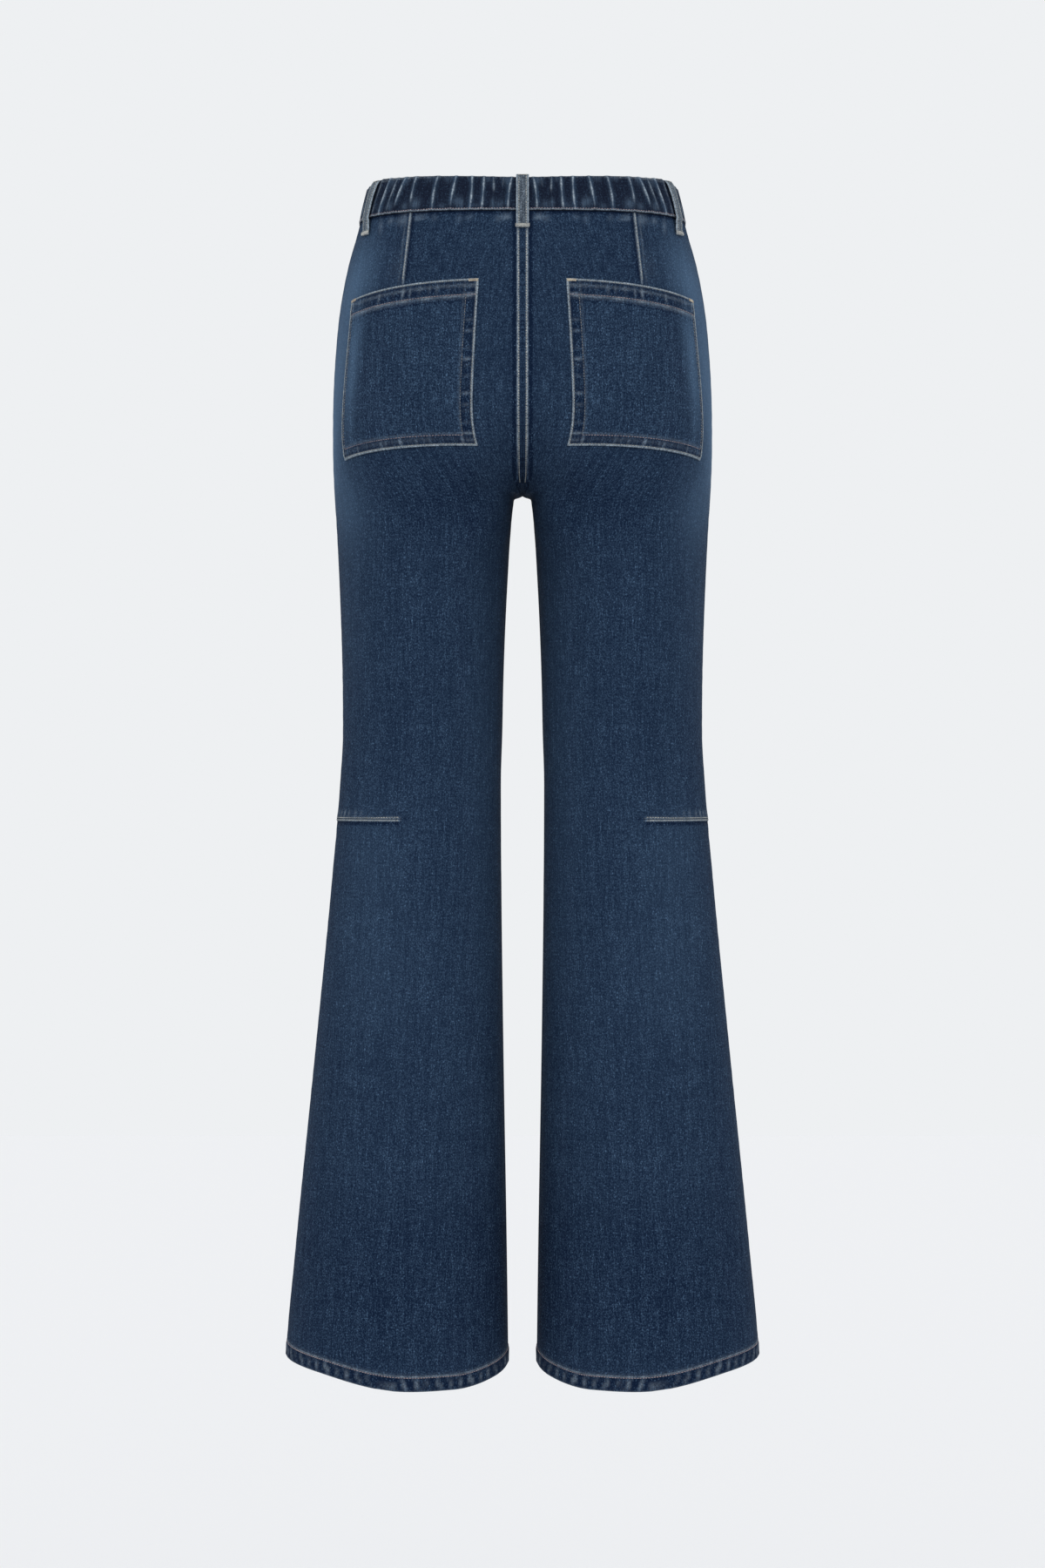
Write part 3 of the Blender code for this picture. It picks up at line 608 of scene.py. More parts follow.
def creases(face, at, drop, length):
    """Sum of soft troughs, each a Gauss curve across and along a line that leans from the level."""
    lift = np.zeros_like(drop)
    for on, share, at_drop, long, wide, lean, depth in CREASES:
        if on == face:
            u = at - share * length
            v = drop - at_drop
            angle = math.radians(lean)
            along = u * math.cos(angle) + v * math.sin(angle)
            across = v * math.cos(angle) - u * math.sin(angle)
            trough = bell(across, 0, wide) - 0.55 * bell(across, 1.6 * wide, wide)
            lift -= depth * bell(along, 0, long) * trough
    return lift


def ripple(at, seed, pitch):
    """An uneven wave of about one crest a pitch: two sines whose pitches never match."""
    turn = 2 * math.pi * at / pitch
    return 0.6 * np.sin(turn + seed) + 0.4 * np.sin(turn * 1.37 + 2.3 * seed)


def panel_grid(face):
    """Each point's distance along the half ring, drop, row level and the evened length of its ring."""
    share, shift, is_dart = panel_columns(face)
    share, level = np.meshgrid(share, PANEL_LEVELS[face])
    if face == BACK:
        share = np.where(is_dart, 0.514 + 0.026 * ramp(level, 30, 100), share)
        shift = np.where(is_dart, shift * (1 + 0.8 * ramp(level, 100, 180)), shift)
        wider = 1 + (welt_spread(level) - 1) * (1 - ramp(level, 262, 300))
        shift = np.where(share > 0.99, shift * wider, shift)
    # Rows bunched at the crotch spread out evenly towards the side seam.
    first, last = FAN_LEVELS
    rows_here = PANEL_LEVELS[face][(PANEL_LEVELS[face] >= first) & (PANEL_LEVELS[face] <= last)]
    even = np.interp(level, rows_here, np.linspace(rows_here[0], rows_here[-1], len(rows_here)))
    level = level + (even - level) * (1 - ramp(share, 0.35, 0.97)) * ((level > first) & (level < last))
    whole = np.clip(share + shift / ring_length(face, level), 0, 1)
    drop = hem_level(face, whole, waist_level(face, whole, level))
    at = np.clip(distance(face, share, drop) + shift, 0, ring_length(face, drop))
    return at, drop, level, np.interp(drop, TABLE_DROPS, EVEN_LENGTH[face])


def hem_rise(above):
    """How far the turned hem stands out, on either face of the cloth."""
    return FOLD_RISE * (1 - ramp(above, HEM_FOLD - 0.4, HEM_FOLD + 1.0))


# Each of the next functions gives a feature's part in three grids: lift, fading with painted shade, and
# worn.
def turned_hem(face, from_side, above):
    """The turned hem stands a little proud. Its fold twists into ropes, whose crests rub pale."""
    along = from_side + 0.35 * above
    rope = 0.75 * np.sin(2 * math.pi * along / 10.5 + face) + 0.40 * ripple(along, 1.1, 17.0)
    turned = 1 - ramp(above, HEM_FOLD - 1, HEM_FOLD + 0.5)
    lift = hem_rise(above) - 0.45 * bell(above, HEM_FOLD, 1.1)
    lift += 0.36 * rope * (1 - ramp(above, HEM_FOLD - 2, HEM_FOLD + 5)) * ramp(above, -1, 3)
    fade = -turned * (0.55 - 0.60 * np.clip(rope, 0, 1))
    worn = 0.30 * bell(above, 0.1, 0.6) + 0.55 * bell(above, HEM_FOLD + 1.0, 0.7) * (0.8 + 0.3 * rope)
    worn += 0.40 * np.clip(rope - 0.1, 0, 1) * bell(above, 6.0, 4.5) * turned
    return np.array([lift, fade, worn])


def pressed_seams(face, from_side, from_centre, drop, level):
    """Side seam and inseam, pressed open: a groove between two low ridges that rub in small puckers, with
    painted shade down each groove.
    """
    low = ramp(level, *INSEAM_STARTS)
    pucker = np.clip(ripple(drop, 0.6, 13), 0, 1)
    lift = -0.55 * bell(from_side, 0, 1.2) + 0.35 * bell(from_side, 6, 4.0)
    lift += 0.18 * ripple(drop, 2.0, 17) * bell(from_side, 0, 7)
    lift += low * (-0.55 * bell(from_centre, 0, 1.2) + 0.3 * bell(from_centre, 6, 4.0))
    # Painted shade: each seam's groove is darkened.
    fade = -0.9 * bell(from_side, 0, 1.0) - 0.7 * low * bell(from_centre, 0, 1.0)
    worn = (0.16 * bell(from_side, 2.4, 2.2) + 0.12 * low * bell(from_centre, 2.4, 2.0)) * pucker
    worn += 0.26 * bell(from_side, 5, 15) * bell(drop, 232, 48) * (face == BACK)
    return np.array([lift, fade, worn])


def seat_seam(from_centre, drop, level):
    """The raised welt down the seat, with two sunk rows of stitches, rubbed edges, and painted shadow
    along the welt and on the cloth beside it.
    """
    seat = 1 - ramp(level, *RISE_ENDS)
    over = from_centre / welt_spread(drop)
    lift = FOLD_RISE * (1 - ramp(over, WELT_HALF - 0.5, WELT_HALF + 0.5))
    lift -= 0.24 * bell(over, WELT_STITCH, 0.7) + 0.12 * bell(over, 0, 0.9)
    # Painted shadow: a thin line inside each rubbed edge, a faint band down the middle, and a broad one
    # on the cloth beside the welt.
    dark = 0.8 * bell(over, 4.15, 0.35) + 0.15 * bell(over, 1.0, 1.6)
    dark += 1.2 * bell(over, WELT_HALF + 1.7, 1.2)
    rub = 1.1 * bell(over, WELT_HALF - 0.8, 0.5) * (0.8 + 0.2 * ripple(drop, 0.3, 7))
    rub += 0.22 * bell(over, WELT_STITCH, 0.6)
    return np.array([lift, -dark, rub * (1 - ramp(drop, 225, 272))]) * seat


def knee_fold(from_side):
    """How full the knee dart's fold is: none at its point, and pressed flat at the seam."""
    taper = np.sqrt(np.clip(1 - from_side / KNEE_DART_LENGTH, 0, 1))
    return taper * (0.45 + 0.55 * ramp(from_side, 0, 16))


def knee_dart(from_side, drop):
    """A fold pressed down, its stitched edge proud of the cloth below, and pinched above, with painted
    shadow under the fold, between its two rows of stitches and above them.
    """
    full = knee_fold(from_side)
    above = KNEE_DART_DROP - drop
    fold = np.where(above >= -0.2, bell(np.maximum(above, 0), 0, 7.0), 0)
    pinch = np.clip(np.cos(2 * math.pi * from_side / 8.4), -0.6, 1) * bell(above, 6, 4.5) * (above > 0)
    under = np.where(above < -0.2, bell(above, -1.4, 1.6), 0)
    # Painted shadow under the fold, between its two rows and above them.
    dark = (0.9 * under + 1.2 * bell(above, 1.7, 0.4) + 0.6 * bell(above, 3.8, 0.6)) * (full > 0)
    rows = bell(above, 0.5, 0.7) * (above > -0.3) + 0.7 * bell(above, 2.7, 0.4)
    worn = 0.9 * rows * ramp(full, 0, 0.3)
    worn += 0.55 * np.clip(pinch, 0, 1) ** 2 * (1 - ramp(from_side, 25, 75)) * bell(above, 8, 4)
    return np.array([(KNEE_DART_RISE * fold + 0.30 * pinch) * full, -dark, worn])


def waist_dart_at(drop):
    """Distance of the waist dart's edge from the centre seam."""
    share = (drop - WAIST_DART["top"]) / (WAIST_DART["foot"] - WAIST_DART["top"])
    return WAIST_DART["top_at"] + share * (WAIST_DART["foot_at"] - WAIST_DART["top_at"])


def waist_dart(from_centre, drop):
    """A fold pressed towards the side seam, its edge on the inner side, with a painted shadow along the
    inner side of the edge.
    """
    off = from_centre - waist_dart_at(drop)
    here = 1 - ramp(drop, WAIST_DART["foot"] - 8, WAIST_DART["foot"] + 6)
    fold = np.where(off > -0.25, bell(np.maximum(off, 0), 0, 5.0), 0)
    # Painted shadow along the inner side of the fold's edge, fainter lower down.
    dark = 1.1 * bell(off, -1.4, 1.5) * (1 - 0.4 * ramp(drop, 40, 96))
    return np.array([fold, -dark, 0.85 * bell(off, 0.5, 0.8) + 0.14 * bell(off, 5.2, 1.0)]) * here


def elastic_pull(from_centre, level):
    """The elastic pulls the top of the cloth into small gathers under the band, and some rub. A painted
    shadow lies just under the band.
    """
    tug = bell(level, BAND_DROP + 5, 9) * ramp(from_centre, 6, 16)
    # Painted shadow just under the band.
    shadow = 1.4 * bell(level, BAND_DROP + 0.8, 1.1)
    marks = np.array([0.4 * ripple(from_centre, 0.9, 11.0) * tug, -shadow, np.zeros_like(tug)])
    for at, drop, reach, fall, strength in PUCKERS:
        patch = strength * bell(from_centre, at, reach) * bell(level, drop, fall)
        marks += np.multiply.outer((0.6, 2.4, 0.65), patch)
    return marks


def front_rise(from_centre, level):
    """The fronts lap at the rise: a low step with one sunk row of stitches, and a painted shadow just
    under the band.
    """
    rise = 1 - ramp(level, *RISE_ENDS)
    lap = FOLD_RISE * 0.5 * (1 - ramp(from_centre, WELT_HALF - 0.5, WELT_HALF + 0.5))
    rub = 0.45 * bell(from_centre, WELT_HALF - 0.5, 0.75)
    # Painted shadow just under the band.
    shadow = 0.4 * bell(level, BAND_DROP + 0.5, 1.8)
    return np.array([(lap - 0.2 * bell(from_centre, 2.5, 0.7)) * rise, -shadow, rub * rise])


def panel_shape(face):
    """Both grids, the map and the marks of one panel, for the left side."""
    at, drop, level, even = panel_grid(face)
    from_side, from_centre, above_hem = at, ring_length(face, drop) - at, HEM_DROP - level
    marks = turned_hem(face, from_side, above_hem)
    marks += pressed_seams(face, from_side, from_centre, drop, level)
    if face == BACK:
        marks += seat_seam(from_centre, drop, level) + knee_dart(from_side, drop)
        marks += waist_dart(from_centre, drop) + elastic_pull(from_centre, level)
    else:
        marks += front_rise(from_centre, level)
    lift, fade, worn = marks
    lift += creases(face, at, drop, even) * ramp(above_hem, 20, 90) * ramp(level, 60, 130)
    fade += fade_and_shading_patches(face, at, drop, even)
    point, normal = form_at(face, at, drop), outward(face, at, drop)
    outer = point + lift[..., None] * normal
    inner = point + (np.minimum(lift, 0.0) - CLOTH - hem_rise(above_hem))[..., None] * normal
    for grid in (outer, inner):
        grid[..., 0] = np.maximum(grid[..., 0], 0)
        grid[:, -1, 0] = np.where(drop[:, -1] <= CROTCH_DROP, 0, grid[:, -1, 0])
    cloth_map = np.stack([at - even / 2, drop], axis=-1)
    return outer, inner, cloth_map, {"fade": fade, "worn": np.clip(worn, 0, 1)}


# Broad fading from washing and wear, and painted shade at the inner legs: face, share, drop, reach along,
# fall down, strength.
FADE_AND_SHADING_PATCHES = (
    (BACK, 0.28, 88, 26, 38, 1.75),
    (BACK, 0.23, 165, 26, 60, 1.60),
    (BACK, 0.05, 150, 34, 80, 0.70),
    (BACK, 0.06, 225, 36, 62, 2.60),
    (BACK, 0.14, 110, 18, 60, 0.80),
    (BACK, 0.22, 292, 30, 40, 0.85),
    (BACK, 0.18, 390, 32, 70, 0.25),
    (BACK, 0.30, 600, 34, 48, 0.34),
    (BACK, 0.36, 700, 44, 70, 0.30),
    (BACK, 0.62, 285, 60, 38, -0.20),
    (BACK, 0.45, 60, 60, 40, -0.06),
    # Partly painted light: it lifts the inner back thigh against its shade.
    (BACK, 0.82, 500, 34, 220, 0.30),
    # Painted shade on the inner back leg near the hem.
    (BACK, 0.95, 980, 44, 90, -0.30),
    (BACK, 0.45, 990, 130, 80, -0.22),
    (FRONT, 0.08, 150, 34, 80, 0.95),
    (FRONT, 0.48, 330, 46, 110, 1.25),
    (FRONT, 0.48, 560, 44, 70, 1.0),
    (FRONT, 0.45, 720, 44, 130, 0.5),
    (FRONT, 0.90, 150, 40, 60, -0.10),
    # The next two are painted shade along the inner front leg.
    (FRONT, 1.00, 420, 30, 160, -0.18),
    (FRONT, 1.00, 800, 34, 200, -0.16),
    (FRONT, 0.45, 1000, 130, 80, -0.14),
)


def fade_and_shading_patches(face, at, drop, length):
    """Sum of soft patches, each a Gauss curve along the ring and down the leg."""
    fade = np.zeros_like(drop)
    for on, share, at_drop, reach, fall, strength in FADE_AND_SHADING_PATCHES:
        if on == face:
            fade += strength * bell(at, share * length, reach) * bell(drop, at_drop, fall)
    return fade


def cut_piece(piece, node):
    """What every cloth piece says: its body and the solid it replaces."""
    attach(piece, BODY)
    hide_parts(node)


FLIP = np.array([-1.0, 1.0, 1.0])
HANDS = (("left", 1.0), ("right", FLIP))
both_faces = [DENIM, DENIM_INSIDE]
for face, word in ((BACK, "back"), (FRONT, "front")):
    outer, inner, cloth_map, marks = panel_shape(face)
    for hand, turn in HANDS:
        piece = shell(f"{word}_leg_{hand}", outer * turn, inner * turn, cloth_map, marks, both_faces)
        cut_piece(piece, f"{word}_panel_{hand}")


# ---------------------------------------------------------------- patch pockets
# A square patch on each side of the seat, its edges turned under and stitched twice, with the deep
# hem along the top. The rubbed edges are pale and the stitching draws the hems into small puckers.

POCKET_CORNERS = {
    "top_inner": (38.3, 94.3),
    "top_outer": (169.0, 107.2),
    "foot_inner": (45.2, 240.4),
    "foot_outer": (187.0, 249.7),
}
POCKET_BOW = {"inner": 0.8, "outer": 2.4, "top": 2.0}
POCKET_WIDE, POCKET_TALL = 141.0, 144.5  # on average
POCKET_WIDTHS = (135.0, 12.5)  # along the top, and what it gains down to the foot
POCKET_HEIGHTS = (146.4, -3.6)  # along the inner edge, and what it gains out to the outer one
POCKET_AIR = 0.45
POCKET_CLOTH = 1.3
POCKET_TOP_HEM = 14.5
POCKET_FOOT_HEM = 9.0
POCKET_INNER_HEM = 11.0
POCKET_OUTER_HEM = 5.0
POCKET_EDGE_STITCH = 1.6


def uneven_ripple(at, seed, pitch):
    """A wave whose crests come and go: a ripple times a slow one, and a share of a quicker one."""
    slow = 0.55 + 0.45 * np.sin(2 * math.pi * at / (3.7 * pitch) + 1.9 * seed)
    quick = 0.35 * np.sin(2 * math.pi * at / (0.61 * pitch) + seed) * (1 - slow)
    return 0.8 * slow * ripple(at, seed, pitch) + quick


def pocket_point(across, down):
    """Distance from the centre seam and drop of a point of the pocket, from its two shares."""
    corner = {name: np.array(at) for name, at in POCKET_CORNERS.items()}
    upright, level = 4 * down * (1 - down), 4 * across * (1 - across)
    inner = corner["top_inner"] + down[..., None] * (corner["foot_inner"] - corner["top_inner"])
    outer = corner["top_outer"] + down[..., None] * (corner["foot_outer"] - corner["top_outer"])
    inner[..., 0] += POCKET_BOW["inner"] * upright
    outer[..., 0] += POCKET_BOW["outer"] * upright
    point = inner + across[..., None] * (outer - inner)
    return point[..., 0], point[..., 1] - POCKET_BOW["top"] * level


def pocket_sizes(across, down):
    """Distances in millimetres of a point of the pocket from its top, foot, inner and outer edges."""
    wide = POCKET_WIDTHS[0] + POCKET_WIDTHS[1] * down
    tall = POCKET_HEIGHTS[0] + POCKET_HEIGHTS[1] * across
    return tall * down, tall * (1 - down), wide * across, wide * (1 - across)


def pocket_lift(across, down):
    """Height of the pocket's face over the form, its marks of wear, and its fading with painted shadow.
    """
    from_top, from_foot, from_inner, from_outer = pocket_sizes(across, down)
    edge = np.minimum(np.minimum(from_top, from_foot), np.minimum(from_inner, from_outer))
    hems = np.maximum.reduce(
        [
            0.60 * (1 - ramp(from_top, POCKET_TOP_HEM - 0.5, POCKET_TOP_HEM + 1.5)),
            0.40 * (1 - ramp(from_foot, POCKET_FOOT_HEM - 0.5, POCKET_FOOT_HEM + 1.5)),
            0.40 * (1 - ramp(from_inner, POCKET_INNER_HEM - 0.5, POCKET_INNER_HEM + 1.5)),
            0.35 * (1 - ramp(from_outer, POCKET_OUTER_HEM - 0.5, POCKET_OUTER_HEM + 1.5)),
        ]
    )
    lift = POCKET_AIR + POCKET_CLOTH + hems - 0.75 * (1 - ramp(edge, 0, 1.0)) ** 2
    lines = (
        (from_top, POCKET_EDGE_STITCH), (from_top, POCKET_TOP_HEM), (from_foot, POCKET_EDGE_STITCH),
        (from_foot, POCKET_FOOT_HEM), (from_inner, POCKET_EDGE_STITCH), (from_inner, POCKET_INNER_HEM),
        (from_outer, POCKET_EDGE_STITCH), (from_outer, POCKET_OUTER_HEM),
    )
    for distance_in, line in lines:
        lift = lift - 0.26 * bell(distance_in, line, 0.7)
    top = uneven_ripple(from_inner, 0.4, 8.5) * bell(from_top, 8, 5)
    foot = uneven_ripple(from_inner, 1.9, 7.0) * bell(from_foot, 5, 3.5)
    inside = uneven_ripple(from_top, 2.6, 8.0) * bell(from_inner, 6.3, 4.5)
    outside = uneven_ripple(from_top, 3.7, 7.0) * bell(from_outer, 3.3, 2.5)
    pucker = 0.22 * top + 0.26 * foot + 0.20 * inside + 0.18 * outside
    body = 0.8 * bell(across, 0.5, 0.33) * bell(down, 0.55, 0.33)
    patchy = 0.7 + 0.5 * uneven_ripple(from_inner + 0.6 * from_top, 5.1, 23.0)
    worn = (0.42 + 0.60 * np.clip(patchy, 0, 1)) * bell(edge, 0.8, 1.05)
    worn += 0.4 * bell(from_outer, 0.8, 1.6)
    worn += 0.50 * patchy * bell(from_top, POCKET_TOP_HEM + 1.2, 1.3) * ramp(from_inner, 1, 5)
    worn += 0.22 * patchy * bell(from_top, 6.2, 1.3)
    worn += 0.08 * bell(from_foot, 6.0, 1.8) * bell(across, 0.5, 0.5)
    inner_rub = 0.10 * bell(from_inner, POCKET_INNER_HEM + 1.4, 0.9)
    worn += inner_rub + 0.12 * bell(from_foot, POCKET_FOOT_HEM + 1.5, 1.0)
    crests = np.clip(top, 0, 1) + np.clip(foot, 0, 1) + np.clip(inside, 0, 1) + np.clip(outside, 0, 1)
    worn += 0.70 * crests**1.8
    # Paler towards the outer edge and darker over the turned hems; a painted shadow line just inside the
    # edge stitching; a darker band below the top hem.
    fade = 1.75 * bell(from_outer, 13, 12) * bell(down, 0.42, 0.40) - 0.45 * (hems > 0.2)
    fade += 0.70 * (top + foot + inside + outside) - 0.35 * bell(edge, 2.8, 1.0)
    fade -= 0.5 * bell(from_top, POCKET_TOP_HEM + 4.6, 1.6)
    return lift + pucker + body * 0.6, np.clip(worn, 0, 1), fade


def pocket_shares(edge_steps, middle_steps, size):
    """Shares along a pocket of this size, closer together near its two edges."""
    edge = np.array(edge_steps) / size
    middle = np.linspace(edge[-1], 1 - edge[-1], middle_steps)[1:-1]
    return np.concatenate([edge, middle, 1 - edge[::-1]])


POCKET_EDGE_STEPS = (
    0, 0.35, 0.8, 1.3, 1.9, 2.6, 3.4, 4.4, 5.6, 7.0, 8.4, 9.6, 10.6, 11.8, 13.2, 14.4, 15.6, 17.2,
)
pocket_across, pocket_down = np.meshgrid(
    pocket_shares(POCKET_EDGE_STEPS, 46, POCKET_WIDE), pocket_shares(POCKET_EDGE_STEPS, 46, POCKET_TALL)
)
pocket_at, pocket_drop = pocket_point(pocket_across, pocket_down)
pocket_height, pocket_worn, pocket_fade_and_shading = pocket_lift(pocket_across, pocket_down)
POCKET_DENIM = denim("pocket_denim", depth=0.155, contrast=1.15)
outer, _ = on_form(BACK, pocket_at, pocket_drop, pocket_height)
inner, _ = on_form(BACK, pocket_at, pocket_drop, POCKET_AIR)
cloth_map = np.stack([pocket_at + 400, pocket_drop + 90], axis=-1)
marks = {"fade": pocket_fade_and_shading, "worn": pocket_worn}
both_faces = [POCKET_DENIM, DENIM_INSIDE]
for hand, turn in HANDS:
    piece = shell(f"seat_pocket_{hand}", outer * turn, inner * turn, cloth_map, marks, both_faces)
    cut_piece(piece, f"back_pocket_{hand}")


# ---------------------------------------------------------------- waistband
# A folded band of the darkest denim. The back is drawn up by wide elastic into upright crests that
# rub pale in a soft halo, partly painted light, with darker valleys between. The front is flat, and its
# two ends meet under the button.

GATHER_COLUMNS = ("from_centre", "height", "lean", "width", "pale", "start", "end")
GATHERS = (
    (11, 2.0, 3.0, 2.0, 0.85, -2, 30),
    (17, 1.0, 0.0, 1.6, 0.35, -2, 9),
    (26, 1.4, -0.8, 1.8, 0.50, -2, 15),
    (35, 1.9, 0.4, 1.9, 0.90, 1, 30),
    (45.5, 2.0, 0.0, 1.9, 1.00, 0, 34),
    (61, 2.3, 3.0, 2.1, 1.00, -2, 27),
    (77, 2.2, 1.5, 2.4, 0.80, 2, 31),
    (97, 2.0, 0.8, 2.4, 0.75, -2, 22),
    (110, 2.4, 7.0, 2.2, 1.00, -2, 25),
    (119, 1.7, 7.0, 1.8, 0.50, -2, 27),
    (127.5, 2.1, 7.0, 2.0, 1.00, -2, 34),
    (138, 1.4, 6.0, 1.8, 0.30, 0, 30),
    (152, 1.8, 4.0, 2.1, 0.70, 0, 30),
    (166, 1.6, 2.0, 2.1, 0.60, 0, 28),
    (180, 1.2, 0.0, 2.3, 0.40, 2, 30),
)
GATHER = table(GATHER_COLUMNS, GATHERS)
BAND_MIDDLE = BAND_DROP / 2
# Hazy rubbed patches between the crests: from_centre, drop, reach, fall, strength.
RUBS = (
    (14.0, 4.0, 2.5, 4.0, 0.30), (20.0, 27.0, 3.5, 3.5, 0.26), (26.0, 26.0, 1.8, 4.5, 0.34),
    (31.0, 3.0, 2.0, 3.0, 0.22), (40.0, 28.0, 3.0, 2.5, 0.16), (53.0, 26.0, 1.7, 4.5, 0.38),
    (57.0, 24.0, 2.6, 4.0, 0.34), (67.0, 3.0, 4.0, 3.5, 0.18), (70.0, 28.0, 3.0, 2.5, 0.20),
    (84.0, 2.5, 4.0, 3.0, 0.20), (94.0, 25.0, 4.0, 4.5, 0.40), (104.0, 26.5, 3.0, 3.0, 0.32),
    (106.0, 4.0, 3.0, 4.0, 0.22), (119.0, 26.0, 3.0, 4.0, 0.28), (121.0, 5.0, 2.5, 4.0, 0.22),
    (131.0, 26.0, 2.5, 4.0, 0.24), (160.0, 24.0, 5.0, 6.0, 0.25), (174.0, 22.0, 6.0, 7.0, 0.22),
)


def away_from_crests(from_centre, drop):
    """Distances of points of the band from every crest's leaning, bowed line, one column each."""
    off = drop / BAND_MIDDLE - 1
    bow = 0.9 * (1 - off[..., None] ** 2) * np.sin(1.9 * GATHER["from_centre"])
    line = GATHER["from_centre"] + GATHER["lean"] * off[..., None] / 2
    return np.abs(from_centre)[..., None] - line - bow


def gathers(from_centre, drop):
    """Height of the band's crests: a Gauss curve across each, steeper on its inner side."""
    away = away_from_crests(from_centre, drop)
    steep = np.where(away < 0, 0.75, 1.15)
    crest = GATHER["height"] * np.exp(-((away / (GATHER["width"] * steep)) ** 2))
    return crest.sum(axis=-1) * (1 - 0.5 * np.abs(drop / BAND_MIDDLE - 1) ** 3)


def crest_wear(from_centre, drop):
    """How pale a point of the band is rubbed, and how faded and lit: a narrow rubbed line on each crest
    in a soft halo, partly rubbed fading and partly painted light, which leaves the valleys darker.

    The line's width and strength waver down the band, each crest by its own sine.
    """
    away = away_from_crests(from_centre, drop)
    down = drop[..., None]
    begun = ramp(down, GATHER["start"] - 3, GATHER["start"] + 2)
    reach = begun * (1 - ramp(down, GATHER["end"] - 5, GATHER["end"] + 3))
    waver = np.sin(down / 3.1 + 5.0 * GATHER["from_centre"])
    core = (0.80 + 0.30 * waver) * np.exp(-((away / (0.62 + 0.20 * waver)) ** 2))
    # The halo is partly painted light on each crest, leaving the valleys between darker.
    halo = np.exp(-(((away - 0.4) / 2.0) ** 2))
    rubbed = (GATHER["pale"] * core * reach).sum(axis=-1)
    fade_and_crest_light = (GATHER["pale"] * halo * reach).sum(axis=-1) * 1.3
    streaks = 0.75 + 0.25 * ripple(np.abs(from_centre), 3.3, 2.4)
    for at, middle, wide, fall, strength in RUBS:
        patch = strength * bell(np.abs(from_centre), at, wide) * bell(drop, middle, fall) * streaks
        rubbed, fade_and_crest_light = rubbed + 0.22 * patch, fade_and_crest_light + 3.6 * patch
    return rubbed, fade_and_crest_light


def gathered_face(at, drops):
    """How far the gathers stand over the band's plain face; they flatten out past the side loops."""
    at = np.abs(at)
    fine = 0.22 * ripple(at, 0.8, 6.1) * bell(drops, BAND_DROP - 2, 6)
    fine += 0.18 * ripple(at, 2.2, 5.0) * bell(drops, 2.0, 4)
    past = ramp(at, 138, 150)
    return (gathers(at, drops) + fine) * (1 - 0.6 * past) - 0.6 * past


def band(stations, section_rows, place, gathered):
    """A closed tube: the band's cross-section, a ring of drops and lifts, carried along its stations."""
    drop, lift, share = np.array(section_rows, float).T
    at, drops = np.meshgrid(stations, drop, indexing="ij")
    lifts = np.broadcast_to(lift, at.shape).copy()
    worn, fade = np.zeros_like(at), np.zeros_like(at)
    if gathered:
        lifts += share * gathered_face(at, drops)
        worn, fade = crest_wear(at, drops)
        worn += 0.22 * np.clip(ripple(np.abs(at), 2.2, 5.0), 0, 1) * bell(drops, 1.0, 1.6)
        level_top = 1.3 * bell(at, 0, 42) - 0.9 * bell(np.abs(at), 105, 32)
        level_top -= 1.5 * bell(np.abs(at), 134, 13)
        drops = drops + level_top * (1 - ramp(drops, 2, 16))
    worn += 0.30 * bell(drops, 0.7, 0.7) + 0.72 * bell(drops, BAND_DROP - 0.95, 0.45)
    # Painted shadow darkens the band's lower edge where it turns under; a faint paler band lies above it.
    fade += 0.10 * bell(drops, BAND_DROP - 8, 5) - 1.2 * ramp(drops, BAND_DROP - 0.7, BAND_DROP - 0.3)
    worn, fade = np.where(share > 0.5, worn, 0.0), np.where(share > 0, fade, 0.0)
    return place(at, drops, lifts), at, drops, fade, worn


def close_ends(points):
    """A tube's points with a middle point for each end, and its faces, closed at both ends."""
    rows, columns = points.shape[:2]
    quads = grid_faces(rows, columns, ring=True)
    count = rows * columns
    loop = np.arange(columns)
    following = np.roll(loop, -1)
    start = count - columns
    first = np.stack([following, loop, np.full(columns, count)], axis=1)
    last = np.stack([loop + start, following + start, np.full(columns, count + 1)], axis=1)
    triangles = np.concatenate([quads[:, [0, 1, 2]], quads[:, [0, 2, 3]]])
    flat = points.reshape(-1, 3)
    middles = np.stack([points[0].mean(axis=0), points[-1].mean(axis=0)])
    return np.concatenate([flat, middles]), np.concatenate([triangles, first, last])


def band_section(face_lift, inner_lift, top):
    """Cross-section of the band, down its face and up its inside: drop, lift and share of the gathers."""
    foot = BAND_DROP - 0.5
    outside = np.concatenate([np.linspace(top, BAND_DROP - 2, 24), np.linspace(BAND_DROP - 1.6, foot, 5)])
    rounded = face_lift - 0.7 * (1 - ramp(outside, top, top + 1.6))
    rounded -= 0.4 * ramp(outside, BAND_DROP - 1.4, foot)
    inside = np.linspace(BAND_DROP, top + 0.4, 9)
    return [
        *[(d, out, 1.0) for d, out in zip(outside, rounded)],
        (BAND_DROP - 0.1, face_lift - 1.1, 0.3),
        *[(d, inner_lift, -0.30 * bell(d, BAND_MIDDLE, 14)) for d in inside],
        (top - 0.3, (face_lift + inner_lift) / 2, 0.3),
    ]


BAND_DENIM = denim("band_denim", depth=0.015, contrast=0.40, deep=paint(17, 24, 40))
LOOP_DENIM = denim(
    "loop_denim", depth=0.41, contrast=1.9, deep=paint(30, 38, 50), worn=paint(112, 124, 136)
)


